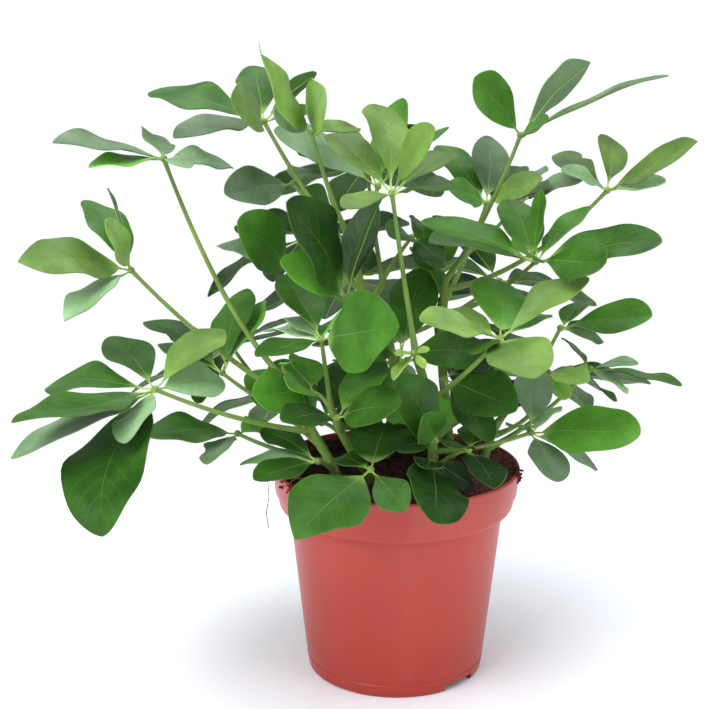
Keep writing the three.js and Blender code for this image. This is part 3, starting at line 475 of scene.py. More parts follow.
def seated_stalk(frond, corners):
    """The curve of a leaf's stalk as the solid holds it."""
    start = cane_at(CANES[frond["cane"]], frond["height"])
    hub = np.array(frond["hub"], float)
    share = KNOWN_RING / STALK_STEPS
    radius = STALK_BASE_RADIUS + (STALK_TOP_RADIUS - STALK_BASE_RADIUS) * share
    best = (0, None)
    for dip in DIPS:
        for sway in SWAYS:
            curve = stalk_curve(start, hub, frond["sag"] + dip, sway)
            middle = spaced(curve, STALK_STEPS)[KNOWN_RING]
            near = corners.find_range(middle, radius + KNOWN_GAP)
            ring = [place for place, _, gap in near if gap > radius - KNOWN_GAP]
            places = {tuple(round(value, 1) for value in place) for place in ring}
            best = max(best, (len(places), (dip, sway)), key=lambda entry: entry[0])
    if best[0] < KNOWN_STALK_LEAST:
        raise ValueError(f"the solid holds no stalk for the leaf at {frond['hub']}")
    dip, sway = best[1]
    return stalk_curve(start, hub, frond["sag"] + dip, sway)


def far_frond(row, index):
    """An even crown that leans outward from the plant's middle."""
    outward = math.degrees(math.atan2(row["hub"][1], row["hub"][0]))
    leaflets = []
    for i in range(FAR_LEAFLETS):
        turn = 360 * i / FAR_LEAFLETS + FAR_TURN_SCATTER * scatter(index, i)
        rise = -FAR_LEAN * math.cos(math.radians(turn)) - FAR_DROOP
        length = FAR_LENGTH * (1 + FAR_LENGTH_SCATTER * scatter(i, index + FAR_LEAFLETS))
        leaflets.append((outward + turn, rise, length))
    mark = FAR_LIGHT if index % FAR_DARK_EVERY else FAR_DARK
    marks = [mark] * FAR_LEAFLETS
    return {**row, "sag": FAR_SAG, "faces": (outward, FAR_LEAN), "marks": marks, "leaflets": leaflets}


def tuft_frond(name):
    """New growth at a cane's tip, as a crown of small upright leaflets."""
    tuft = TUFTS[name]
    leaflets = []
    for i in range(tuft["count"]):
        rise = tuft["rise"] + TUFT_RISE_SCATTER * scatter(i, tuft["count"])
        length = tuft["length"] * (1 + TUFT_LENGTH_SCATTER * scatter(i, 2 * tuft["count"]))
        leaflets.append((tuft["first"] + tuft["turn"] * i, rise, length))
    marks = [TUFT_MARK] * tuft["count"]
    return {"hub": CANES[name]["rise"][-1], "faces": (0, 0), "marks": marks, "leaflets": leaflets}


def all_fronds():
    """Every compound leaf by name, those that the front shows and those on the far side."""
    far = {name: far_frond(row, index) for index, (name, row) in enumerate(FAR_FRONDS.items())}
    return {**FRONDS, **far}


# How fine each pattern of a material is: so many of it to a metre.
# Patches of painted sheen on the leaves, which stand in for soft highlights.
LEAF_SHEEN_PATCHES = 34
LEAF_BLOTCHES = 48
LEAF_GRAIN = 420
STALK_PATCHES = 40
STALK_STREAKS = 260
BARK_PATCHES = 70
BARK_GRAIN = 420
BARK_PORES = 520
POT_CLOUDS = 14
POT_FLOW = 45
POT_SCUFFS = 60
POT_GRAIN = 900
PEAT_CLUMPS = 260
PEAT_FIBRES = 700
PEAT_GRIT = 900
PLAIN_MOTTLE = 6
# How deep the relief of each material is.
LEAF_RELIEF = 0.6 * MM
STALK_RELIEF = 0.2 * MM
BARK_RELIEF = 0.6 * MM
POT_RELIEF = 0.2 * MM
PEAT_RELIEF = 1.5 * MM
# How far the height where bark turns brown drifts, and the height below which shade is painted on the pot,
# darker towards its foot.
BARK_DRIFT = 30 * MM
POT_PAINTED_SHADE_TOP = 85 * MM
# Between these places across the peat it turns from painted shade to painted light: darker on one side,
# lighter and redder on the side that the light reaches.
PAINTED_LIGHT_SIDE = (12 * MM, 40 * MM)
# Edges sharper than this, in degrees, stay sharp.
PLANT_SHARP = 50
POT_SHARP = 28
PEAT_SHARP = 60


class Wire:
    """A shader socket on which maths is written as a plain expression."""

    def __init__(self, paint, socket):
        self.paint = paint
        self.socket = socket

    def maths(self, operation, *values):
        """One step of arithmetic on wires or plain numbers."""
        return self.paint.node("ShaderNodeMath", {"operation": operation}, dict(enumerate(values)))

    def __add__(self, other):
        return self.maths("ADD", self, other)

    def __sub__(self, other):
        return self.maths("SUBTRACT", self, other)

    def __mul__(self, other):
        return self.maths("MULTIPLY", self, other)

    def __truediv__(self, other):
        return self.maths("DIVIDE", self, other)

    def __pow__(self, other):
        return self.maths("POWER", self, other)

    def __radd__(self, other):
        return self.maths("ADD", other, self)

    def __rsub__(self, other):
        return self.maths("SUBTRACT", other, self)

    def __rmul__(self, other):
        return self.maths("MULTIPLY", other, self)

    def __abs__(self):
        return self.maths("ABSOLUTE", self)

    def least(self, value):
        """The value, but never below this one."""
        return self.maths("MAXIMUM", self, value)

    def between(self, low, high):
        """0 below low, 1 above high and smooth between them. low may be the larger."""
        values = {"Value": self, "From Min": low, "From Max": high}
        return self.paint.node("ShaderNodeMapRange", {"interpolation_type": "SMOOTHSTEP"}, values)


class Paint:
    """A material in the making, with one method that adds any node."""

    def __init__(self, name, **constants):
        self.material = bpy.data.materials.new(name)
        self.material.use_nodes = True
        self.tree = self.material.node_tree
        self.shader = self.tree.nodes["Principled BSDF"]
        self.set(**constants)

    def set(self, **values):
        """Sets the shader's own sockets, whose names are given with _ for a space."""
        for name, value in values.items():
            self.join(self.shader.inputs[name.replace("_", " ")], value)

    def join(self, socket, value):
        """Leads a wire to a socket, or sets the socket to a plain value."""
        if isinstance(value, Wire):
            self.tree.links.new(value.socket, socket)
        else:
            socket.default_value = value

    def node(self, kind, settings=None, values=None, output=0):
        """Adds a node with these settings and inputs, and gives the wire of one output."""
        made = self.tree.nodes.new(kind)
        for name, value in (settings or {}).items():
            setattr(made, name, value)
        for name, value in (values or {}).items():
            self.join(made.inputs[name], value)
        return Wire(self, made.outputs[output])

    def mix(self, factor, first, second):
        """Blends two colours, each a wire or a plain colour."""
        first, second = (tone if isinstance(tone, Wire) else (*tone, 1) for tone in (first, second))
        return self.node("ShaderNodeMix", {"data_type": "RGBA"}, {0: factor, 6: first, 7: second}, 2)

    def attribute(self, name):
        """The three numbers of a point attribute."""
        vector = self.node("ShaderNodeAttribute", {"attribute_name": name}, {}, "Vector")
        return [self.node("ShaderNodeSeparateXYZ", {}, {0: vector}, i) for i in range(3)]

    def reading(self, axis):
        """One of the Object coordinates, in metres: axis is 0, 1 or 2 for x, y or z."""
        there = self.node("ShaderNodeTexCoord", {}, {}, "Object")
        return self.node("ShaderNodeSeparateXYZ", {}, {0: there}, axis)

    def place(self, stretch):
        """Object coordinates, in metres, times stretch."""
        there = self.node("ShaderNodeTexCoord", {}, {}, "Object")
        return self.node("ShaderNodeMapping", {}, {"Vector": there, "Scale": stretch})

    def noise(self, scale, detail, stretch=(1, 1, 1), roughness=0.55):
        """Cloudy noise from 0 to 1."""
        values = {"Scale": scale, "Detail": detail, "Roughness": roughness}
        return self.node("ShaderNodeTexNoise", {}, {"Vector": self.place(stretch), **values})

    def spots(self, scale, stretch=(1, 1, 1)):
        """How far it is to the nearest of many scattered points."""
        values = {"Vector": self.place(stretch), "Scale": scale}
        return self.node("ShaderNodeTexVoronoi", {}, values)

    def bump(self, height, distance, strength):
        """Fine relief: what it follows, how high it stands in metres and how strong it is."""
        values = {"Height": height, "Distance": distance, "Strength": strength}
        self.set(Normal=self.node("ShaderNodeBump", {}, values))


def leaf_lines(paint, leaf, s, offset, half, seed):
    """Where the midrib, the side veins and the pale margin show, each from 0 to 1."""
    share = offset / (half + 0.05)
    width = leaf.rib_width * (1.15 - s)
    ribs = offset.between(width + 0.2, width * 0.3) * s.between(0.96, 0.6)
    phase = (s - share * leaf.vein_sweep + seed) * leaf.vein_count
    line = abs(paint.node("ShaderNodeMath", {"operation": "FRACT"}, {0: phase}) - 0.5)
    veins = line.between(0.12, 0.0) * share.between(1.0, 0.35) * s.between(0.2, 0.3) * s.between(1.0, 0.85)
    margin = (half - offset).between(leaf.margin_width, 0.05) * s.between(0.16, 0.24)
    return ribs, veins, margin


def leaf_green(paint, leaf, tone, hue, blotch, fine):
    """A blade's green. Its tone makes it light, partly its own tone and partly painted shade and light.
    Its hue above 0 makes it yellow, partly with painted light shining through. Below 0 it makes it
    grey, partly with wax and partly with painted reflection. Painted sheen patches lie on every blade.
    """
    # Painted sheen: soft patches where grey green is painted on as highlights.
    sheen = paint.noise(LEAF_SHEEN_PATCHES, 2).between(0.5, 0.72)
    light = (tone + (blotch - 0.5) * leaf.blotch + (fine - 0.5) * 0.08).least(0.0) ** 2.2
    body = paint.mix(light, leaf.deep, leaf.fresh)
    # Painted light, partly: leaflets marked y turn yellow green, as if lit through.
    body = paint.mix(hue.between(0.0, 1.0) * 0.85, body, paint.mix(light, leaf.deep, leaf.sunny))
    body = paint.mix(hue.between(1.0, 2.0) * light, body, leaf.lime)
    # Painted reflection, partly: leaflets marked g turn grey green, partly wax and partly the white
    # surroundings reflected.
    waxy = paint.mix(light, leaf.wax_and_sheen_deep, leaf.wax_and_sheen)
    return paint.mix((hue.between(0.0, -1.0) * (0.4 + blotch * 0.6)).least(sheen * leaf.sheen), body, waxy)


def leaf_paint(name, leaf, under):
    """Waxy leaf: a fine pale midrib, side veins that barely show and a paler foot."""
    paint = Paint(name, Specular_IOR_Level=leaf.gloss, Coat_Roughness=leaf.coat_roughness)
    s, sideways, half = paint.attribute("place")
    tone, hue, seed = paint.attribute("traits")
    blotch = paint.noise(LEAF_BLOTCHES, 4)
    fine = paint.noise(LEAF_GRAIN, 3)
    ribs, veins, margin = leaf_lines(paint, leaf, s, abs(sideways), half, seed)
    body = leaf_green(paint, leaf, tone, hue, blotch, fine)
    if under:
        body = paint.mix(leaf.under_share, body, leaf.under)
    body = paint.mix(s.between(0.26, 0.11) * 0.7, body, leaf.rib)
    body = paint.mix(veins * leaf.vein_strength, body, leaf.rib)
    body = paint.mix(ribs * (0.8 if under else leaf.rib_strength), body, leaf.rib)
    body = paint.mix(margin * leaf.margin_strength, body, leaf.margin)
    roughness = leaf.roughness + (0.14 if under else 0.0) + (fine - 0.5) * 0.1 + (blotch - 0.5) * 0.2
    paint.set(Base_Color=body, Roughness=roughness, Coat_Weight=0.02 if under else leaf.coat)
    rise = 1.0 if under else -1.0
    paint.bump(ribs * 1.0 * rise + veins * 0.25 * rise + fine * 0.1 + blotch * 1.6, LEAF_RELIEF, 0.6)
    return paint.material


def stalk_paint(name, leaf, pale):
    """Fleshy green stalk with faint streaks along it. The little stems are paler by this share."""
    paint = Paint(name, Specular_IOR_Level=0.35, Coat_Weight=0.08, Coat_Roughness=0.3)
    streak = paint.noise(STALK_STREAKS, 3, (1, 1, 0.25))
    patch = paint.noise(STALK_PATCHES, 2)
    body = paint.mix(patch.between(0.35, 0.7), leaf.stalk, leaf.stalk_light)
    body = paint.mix(streak.between(0.55, 0.75) * 0.35, body, leaf.stalk_dark)
    body = paint.mix(pale, body, leaf.stem)
    paint.set(Base_Color=body, Roughness=0.42 + streak * 0.15)
    paint.bump(streak, STALK_RELIEF, 0.35)
    return paint.material


def cane_paint(cane):
    """Young bark: green above, brown and corky towards the soil, with small pale pores."""
    paint = Paint("cane_bark", Specular_IOR_Level=0.35)
    height = paint.reading(2)
    grain = paint.noise(BARK_GRAIN, 4, (1, 1, 0.18))
    patch = paint.noise(BARK_PATCHES, 3)
    wood = (height + (patch - 0.5) * BARK_DRIFT).between(cane.green_from, cane.brown_to)
    pores = paint.spots(BARK_PORES, (1, 1, 0.7)).between(0.22, 0.1)
    body = paint.mix(patch, cane.green, cane.olive)
    body = paint.mix(wood, body, cane.brown)
    body = paint.mix(pores * 0.45, body, cane.pore)
    body = paint.mix(grain.between(0.5, 0.8) * 0.4, body, cane.dark)
    paint.set(Base_Color=body, Roughness=0.6 + grain * 0.25)
    paint.bump(grain * 0.7 + pores * 0.8 + patch * 0.4, BARK_RELIEF, 0.7)
    return paint.material


def pot_paint(pot):
    """Thin satin plastic with a faint upright flow from the mould, and painted shade that darkens it
    towards the foot.
    """
    paint = Paint("pot_plastic", Specular_IOR_Level=0.36, Sheen_Weight=0.06, Sheen_Roughness=0.3)
    paint.set(Sheen_Tint=(*pot.sheen, 1))
    height = paint.reading(2)
    flow = paint.noise(POT_FLOW, 3, (1, 1, 0.12))
    cloud = paint.noise(POT_CLOUDS, 3)
    fine = paint.noise(POT_GRAIN, 2)
    scuff = paint.noise(POT_SCUFFS, 4, (1, 1, 6)).between(0.66, 0.78)
    body = paint.mix(cloud.between(0.3, 0.7), pot.colour, pot.warm)
    body = paint.mix(flow.between(0.45, 0.75) * 0.35, body, pot.pale)
    body = paint.mix(scuff * 0.12, body, pot.pale)
    # Painted shade: the pot darkens towards its foot, where less light reaches it.
    body = paint.mix(height.between(POT_PAINTED_SHADE_TOP, 0.0) * 0.5, body, pot.deep)
    paint.set(Base_Color=body, Roughness=pot.roughness + (flow - 0.5) * 0.12 + scuff * 0.08)
    paint.bump(fine * 0.4 + flow * 0.6, POT_RELIEF, 0.25)
    return paint.material


def peat_paint(soil, name, wet):
    """Dark damp peat with reddish fibres in it and pale grit, with painted light that makes one side
    lighter and redder.
    """
    paint = Paint(name, Specular_IOR_Level=0.3)
    # Painted light: the peat grows lighter and redder across it, towards the side that the light reaches.
    painted_light = paint.reading(0).between(*PAINTED_LIGHT_SIDE)
    clump = paint.noise(PEAT_CLUMPS, 6, roughness=0.7)
    fibre = paint.noise(PEAT_FIBRES, 5, (3, 1, 1), 0.7)
    grit = paint.spots(PEAT_GRIT)
    body = paint.mix(clump.between(0.35, 0.7) * (0.35 + painted_light * 0.65), soil.dark, soil.brown)
    body = paint.mix(fibre.between(0.45, 0.65) * (1 - wet) * (0.2 + painted_light * 0.8), body, soil.fibre)
    body = paint.mix(grit.between(0.16, 0.06) * (0.15 + painted_light * 0.45), body, soil.grit)
    paint.set(Base_Color=body, Roughness=0.95 - clump * 0.25)
    paint.bump(clump + fibre * 0.5, PEAT_RELIEF, 1.0)
    return paint.material


def plain_paint(name, colour, roughness):
    """A quiet surface with a slight mottle."""
    paint = Paint(name, Specular_IOR_Level=0.3)
    mottle = paint.noise(PLAIN_MOTTLE, 2)
    shade = tuple(channel * 0.97 for channel in colour)
    paint.set(Base_Color=paint.mix(mottle, colour, shade), Roughness=roughness)
    return paint.material


def deselect():
    """Leaves nothing selected."""
    bpy.ops.object.select_all(action="DESELECT")


def select(*pieces):
    """Selects these objects alone, the last of them active."""
    deselect()
    for piece in pieces:
        piece.select_set(True)
    bpy.context.view_layer.objects.active = pieces[-1]


def joined(name, pieces):
    """These objects as one, with its place in its mesh."""
    select(*pieces)
    if len(pieces) > 1:
        bpy.ops.object.join()
    made = bpy.context.view_layer.objects.active
    made.name = name
    made.data.name = name
    bpy.ops.object.transform_apply(location=True, rotation=True, scale=True)
    return made


def apply_modifier(piece, kind, **settings):
    """Adds a modifier, sets it and applies it."""
    modifier = piece.modifiers.new(kind.lower(), kind)
    for name, value in settings.items():
        setattr(modifier, name, value)
    select(piece)
    bpy.ops.object.modifier_apply(modifier=modifier.name)


def copy_of(template):
    """A copy with its own mesh."""
    made = template.copy()
    made.data = template.data.copy()
    bpy.context.collection.objects.link(made)
    return made


def coordinates(piece):
    """A mesh's corners as rows of three numbers."""
    values = np.empty(len(piece.data.vertices) * 3)
    piece.data.vertices.foreach_get("co", values)
    return values.reshape(-1, 3)


def reshape(piece, points):
    """Moves a mesh's corners to points given in millimetres."""
    piece.data.vertices.foreach_set("co", (np.asarray(points) * MM).ravel())
    piece.data.update()


def write_attribute(piece, name, columns):
    """Writes a vector on every corner from three columns, each an array or one number."""
    count = len(piece.data.vertices)
    values = np.stack([np.broadcast_to(column, count) for column in columns], axis=1)
    attribute = piece.data.attributes.new(name, "FLOAT_VECTOR", "POINT")
    attribute.data.foreach_set("vector", values.astype(float).ravel())


def remove(*pieces):
    """Deletes templates once they have been copied."""
    for piece in pieces:
        bpy.data.objects.remove(piece, do_unlink=True)


def wear(piece, *materials):
    """Gives a piece these materials and no others."""
    piece.data.materials.clear()
    for material in materials:
        piece.data.materials.append(material)


def finish_piece(piece, node):
    """The piece hangs from the root body, and the solid that it stands for is hidden."""
    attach(piece, "root")
    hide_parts(node)


def smooth(piece, angle):
    """Shades a piece smooth, apart from edges sharper than this angle in degrees."""
    select(piece)
    bpy.ops.object.shade_smooth_by_angle(angle=math.radians(angle))


def tube_template(sides, rings):
    """A closed tube one unit long and one in radius, cut into rings."""
    deselect()
    bpy.ops.mesh.primitive_cylinder_add(vertices=sides, radius=1, depth=1, location=(0, 0, 0.5))
    made = bpy.context.object
    bpy.ops.object.transform_apply(location=True, rotation=False, scale=False)
    bpy.ops.object.mode_set(mode="EDIT")
    bpy.ops.mesh.select_all(action="DESELECT")
    bpy.ops.object.mode_set(mode="OBJECT")
    for edge in made.data.edges:
        low, high = (made.data.vertices[i].co.z for i in edge.vertices)
        edge.select = abs(high - low) > 0.5
    bpy.ops.object.mode_set(mode="EDIT")
    bpy.ops.mesh.select_mode(type="EDGE")
    bpy.ops.mesh.subdivide(number_cuts=rings - 1)
    bpy.ops.object.mode_set(mode="OBJECT")
    return made


def limb(name, points, radii, sides=10):
    """A round limb through points, in millimetres, with a radius at each."""
    deselect()
    bpy.ops.curve.primitive_bezier_curve_add()
    made = bpy.context.object
    made.name = name
    curve = made.data
    curve.splines.clear()
    curve.dimensions = "3D"
    spline = curve.splines.new("POLY")
    spline.points.add(len(points) - 1)
    for entry, point, radius in zip(spline.points, points, radii):
        entry.co = (*(Vector(point) * MM), 1)
        entry.radius = radius
    curve.bevel_depth = MM
    curve.bevel_resolution = sides // 2 - 2
    curve.use_fill_caps = True
    select(made)
    bpy.ops.object.convert(target="MESH")
    return bpy.context.object


def turned(name, profile, segments):
    """A solid turned round the upright axis: a disc raised and widened ring by ring."""
    radius, height = profile[0]
    deselect()
    bpy.ops.mesh.primitive_circle_add(
        vertices=segments, radius=radius * MM, location=(0, 0, height * MM), fill_type="NGON"
    )
    made = bpy.context.object
    made.name = name
    bpy.ops.object.transform_apply(location=True, rotation=False, scale=False)
    bpy.ops.object.mode_set(mode="EDIT")
    bpy.ops.mesh.select_mode(type="FACE")
    bpy.ops.mesh.select_all(action="SELECT")
    for next_radius, next_height in profile[1:]:
        bpy.ops.mesh.extrude_region_move(
            TRANSFORM_OT_translate={"value": (0, 0, (next_height - height) * MM)}
        )
        share = next_radius / radius
        centre = (0, 0, next_height * MM)
        bpy.ops.transform.resize(value=(share, share, 1), center_override=centre)
        radius, height = next_radius, next_height
    bpy.ops.mesh.select_all(action="SELECT")
    bpy.ops.mesh.normals_make_consistent(inside=False)
    bpy.ops.object.mode_set(mode="OBJECT")
    return made


def tint(name, description, default):
    """A colour setting."""
    return FloatVectorProperty(
        name=name, description=description, default=default, subtype="COLOR", min=0, max=1
    )


def fraction(name, description, default):
    """A setting between 0 and 1."""
    return FloatProperty(
        name=name, description=description, default=default, subtype="FACTOR", min=0, max=1
    )


def distance(name, description, default):
    """A setting that is a length."""
    return FloatProperty(name=name, description=description, default=default, unit="LENGTH", precision=5)


def amount(name, description, default):
    """A setting that is a plain number, 0 or more."""
    return FloatProperty(name=name, description=description, default=default, min=0)


class LeafSettings(bpy.types.PropertyGroup):
    """Sizes and colours of the compound leaves."""

    rows: IntProperty(name="Rows", description="Faces along a leaflet", default=26, min=6)
    columns: IntProperty(name="Columns", description="Faces across a leaflet", default=10, min=4)
    thickness: distance("Thickness", "Thickness of a blade", 0.5 * MM)
    rib_radius: distance("Rib radius", "Radius of a leaflet's little stem", 0.55 * MM)
    rib_width: amount("Rib width", "Half width of the pale midrib, in millimetres", 0.3)
    rib_strength: fraction("Rib strength", "How pale the midrib is", 0.32)
    margin_width: amount("Margin width", "Width of the pale margin, in millimetres", 0.4)
    margin_strength: fraction("Margin strength", "How pale the margin is", 0.12)
    vein_count: amount("Veins", "Side veins along a leaflet", 9.0)
    vein_sweep: amount("Vein sweep", "How far a vein runs forward", 0.26)
    vein_strength: fraction("Vein strength", "How pale the side veins are", 0.05)
    # Painted sheen: how much of every blade is painted with grey-green patches as soft highlights.
    sheen: fraction("Bloom", "Patches that are dull with wax", 0.3)
    blotch: amount("Blotch", "How much the green varies", 0.5)
    roughness: fraction("Roughness", "Roughness of the upper face", 0.38)
    gloss: fraction("Gloss", "Specular level of a blade", 0.1)
    coat: fraction("Wax", "Weight of the waxy coat", 0.08)
    coat_roughness: fraction("Wax roughness", "Roughness of the waxy coat", 0.22)
    under_share: fraction("Underside", "How pale the underside is", 0.3)
    deep: tint("Deep green", "Darkest leaves", (0.002, 0.022, 0.002))
    fresh: tint("Fresh green", "Lightest leaves", (0.19, 0.58, 0.055))
    sunny: tint("Yellow green", "Lightest lit through", (0.35, 0.58, 0.12))
    lime: tint("Lime", "Leaflets that just opened", (0.5, 0.78, 0.16))
    # Grey green for leaflets marked g and for the painted sheen patches: partly wax, partly painted
    # reflection of the white surroundings.
    wax_and_sheen: tint("Waxy green", "Lightest with wax", (0.42, 0.6, 0.39))
    wax_and_sheen_deep: tint("Waxy dark", "Darkest with wax", (0.018, 0.034, 0.017))
    under: tint("Under green", "Underside", (0.18, 0.31, 0.12))
    rib: tint("Rib green", "Midrib and veins", (0.3, 0.5, 0.11))
    margin: tint("Margin", "Thin edge of a blade", (0.3, 0.42, 0.09))
    stalk: tint("Stalk", "Leaf stalks", (0.14, 0.24, 0.045))
    stalk_light: tint("Stalk, lit", "Palest stalks", (0.21, 0.34, 0.06))
    stalk_dark: tint("Stalk streaks", "Streaks on stalks", (0.07, 0.14, 0.03))
    stem: tint("Little stem", "Stem of a leaflet", (0.4, 0.56, 0.12))
    withered: tint("Withered", "Dry thread at a tip", (0.3, 0.27, 0.22))


class CaneSettings(bpy.types.PropertyGroup):
    """Sizes and colours of the canes."""

    scar_step: distance("Scar step", "Height between leaf scars", 9.5 * MM)
    green_from: distance("Green from", "Height where the bark is green", 112 * MM)
    brown_to: distance("Brown to", "Height where the bark is brown", 94 * MM)
    green: tint("Green", "Young bark", (0.14, 0.28, 0.035))
    olive: tint("Olive", "Ripening bark", (0.2, 0.31, 0.055))
    brown: tint("Brown", "Old bark", (0.15, 0.1, 0.045))
    pore: tint("Pores", "Pale pores", (0.42, 0.38, 0.22))
    dark: tint("Grain", "Dark grain", (0.05, 0.06, 0.02))


class PotSettings(bpy.types.PropertyGroup):
    """Sizes and colours of the pot."""

    height: distance("Height", "Height of the pot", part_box("pot")[1].z)
    rim_radius: distance("Rim radius", "Radius of the rim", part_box("pot")[1].x)
    segments: IntProperty(name="Segments", description="Faces round the pot", default=144, min=12)
    roughness: fraction("Roughness", "Roughness of the plastic", 0.36)
    colour: tint("Colour", "Terracotta plastic", (0.43, 0.045, 0.03))
    warm: tint("Warm", "Warmer patches", (0.48, 0.055, 0.03))
    pale: tint("Pale", "Flow marks", (0.52, 0.1, 0.08))
    # Painted shade: the colour that the pot darkens to towards its foot.
    deep: tint("Deep", "Colour towards the foot", (0.28, 0.013, 0.006))
    sheen: tint("Bloom", "Dull bloom on the plastic", (0.85, 0.75, 1.0))


class SoilSettings(bpy.types.PropertyGroup):
    """Sizes and colours of the peat."""

    crumbs: IntProperty(name="Crumbs", description="Loose crumbs on top", default=1300, min=0)
    fibres: IntProperty(name="Fibres", description="Loose fibres on top", default=90, min=0)
    dark: tint("Dark", "Damp peat", (0.018, 0.007, 0.007))
    brown: tint("Brown", "Drier peat", (0.13, 0.036, 0.034))
    fibre: tint("Fibre", "Reddish fibres", (0.5, 0.17, 0.16))
    dust: tint("Dust", "Dry red crumbs", (0.13, 0.018, 0.018))
    rootlet: tint("Rootlets", "Fine roots at the rim", (0.36, 0.2, 0.08))
    grit: tint("Grit", "Pale grit", (0.5, 0.36, 0.3))


class StageSettings(bpy.types.PropertyGroup):
    """The floor, the lights and the camera."""

    floor_colour: tint("Floor", "Colour of the floor", (0.92, 0.95, 1.0))
    floor_back: distance("Floor's back", "Where the floor ends behind", 323 * MM)
    floor_reach: distance("Floor's reach", "How far it runs otherwise", 1600 * MM)
    key_power: amount("Key light", "Power of the main light", 22.0)
    fill_power: amount("Fill light", "Power of the fill light", 6.0)
    top_power: amount("Top light", "Power of the light above", 22.0)
    sky: amount("Sky", "Light from the white surroundings", 0.48)
    backdrop: amount("Backdrop", "How white the surroundings look", 1.05)
    camera_place: FloatVectorProperty(
        name="Camera", description="Place of the camera", default=(-0.0202, -0.650, 0.315), subtype="XYZ",
        unit="LENGTH",
    )
    camera_pitch: FloatProperty(
        name="Pitch", description="How far the camera looks down", default=math.radians(13.63),
        subtype="ANGLE",
    )
    camera_lens: FloatProperty(name="Lens", description="Focal length in millimetres", default=71.1, min=1)


# Ribs of a leaflet: the faces round one and along it, where it starts and ends, how much its
# stem and the rest of it thin, and how deep it lies, as a share of its radius.
RIB_SIDES = 6
RIB_RINGS = 12
RIB_START = 0.02
RIB_END = 0.93
STEM_THINS = 0.25
RIB_THINS = 0.85
RIB_SINK = 0.35
# A blade's start, and the half width that it keeps at its ends.
BLADE_START = 0.105
LEAST_HALF = 0.12
# A leaf's stalk swells at its base and at its top, each by so much over this share of it, and
# carries a round hub.
STALK_POINTS = 16
BASE_SWELL = 0.5
BASE_SHARE = 0.15
TOP_SWELL = 0.3
TOP_SHARE = 0.07
HUB_RADIUS = 1.7
HUB_SEGMENTS = 14
HUB_RINGS = 9
# A cane swells at each leaf scar, thins between two, and is round at its tip.
CANE_POINTS = 70
SCAR_SWELL = 0.09
SCAR_SHARE = 0.12
CANE_THINS = 0.06
CANE_TIP_ROUND = (0.92, 0.75, 0.4)
# How blades differ. A pair gives the least and the most.
BROAD = 1.2
FULL_BASE = (0.52, 0.64)
LEAN_BASE = (0.76, 0.96)
POINTED_TIP = (0.8, 0.92)
ROUND_TIP = (0.5, 0.68)
PLAIN_PEAK = (1.02, 1.3)
SPOON_PEAK = 1.65
SLIM_SHARE = 0.8
CURL = (-0.012, 0.05)
CURL_FROM = 0.45
TWIST = (-0.13, 0.13)
RIPPLE = (0.03, 0.09)
RIPPLE_TURNS = 15
SWELL = 0.012
SWELL_TURNS = 7
EDGE_WAVE = 0.05
EDGE_TURNS = 8
BITE_PLACE = (0.5, 0.7)
BITE_DEPTH = 0.38
BITE_REACH = 0.07
LIGHTNESS_SCATTER = 0.04
# The withered thread at a tip: how far back it starts and how deep, how far it reaches forward
# and up, its points and its radius at its two ends.
THREAD_BACK = 0.8
THREAD_SINK = 0.2
THREAD_FORWARD = 2.5
THREAD_UP = 4
THREAD_POINTS = 5
THREAD_RADIUS = 0.3
THREAD_END_RADIUS = 0.1


def blade_template(settings):
    """A flat grid that every leaflet's blade is a copy of."""
    deselect()
    rows, columns = settings.rows, settings.columns
    bpy.ops.mesh.primitive_grid_add(x_subdivisions=rows, y_subdivisions=columns, size=2)
    return bpy.context.object


def rib_radius(settings, s):
    """A rib's radius: a round little stem that thins along the blade's underside."""
    stem = settings.rib_radius / MM
    stem *= 1 - STEM_THINS * np.clip(s / STEM_SHARE, 0, 1)
    return stem * (1 - RIB_THINS * np.clip(s - STEM_SHARE, 0, 1) / RIB_END)


def leaflet_form(chance, leaf, mark):
    """How one blade grew: its two ends, the curl and twist of it, and the ripple of its two edges."""
    full = "o" in mark or (leaf["width"] >= BROAD and "w" not in mark)
    base = chance.uniform(*(FULL_BASE if full else LEAN_BASE))
    tip = chance.uniform(*(POINTED_TIP if "p" in mark else ROUND_TIP))
    peak = SPOON_PEAK if "s" in mark else chance.uniform(*PLAIN_PEAK)
    return {
        "tapers": (base, tip, peak),
        "bite": (chance.choice((-1, 1)), chance.uniform(*BITE_PLACE), BITE_DEPTH if "b" in mark else 0.0),
        "curl": chance.uniform(*CURL),
        "twist": chance.uniform(*TWIST),
        "ripple": chance.uniform(*RIPPLE),
        "phases": [chance.uniform(0, 2 * math.pi) for _ in range(4)],
    }


def droop(leaf, form, s, t, half):
    """How far a blade's points lie under the plain shape of the leaflet, in millimetres."""
    curl = form["curl"] * leaf["length"] * np.clip((s - CURL_FROM) / (1 - CURL_FROM), 0, 1) ** 2
    first, second = (np.sin(RIPPLE_TURNS * s + phase) for phase in form["phases"][:2])
    ripple = form["ripple"] * half * t**2 * np.where(t < 0, first, second)
    swell = SWELL * leaf["length"] * np.sin(SWELL_TURNS * s + form["phases"][2])
    return curl + ripple + swell * np.clip((s - STEM_SHARE) * 3, 0, 1) + form["twist"] * t * half * s


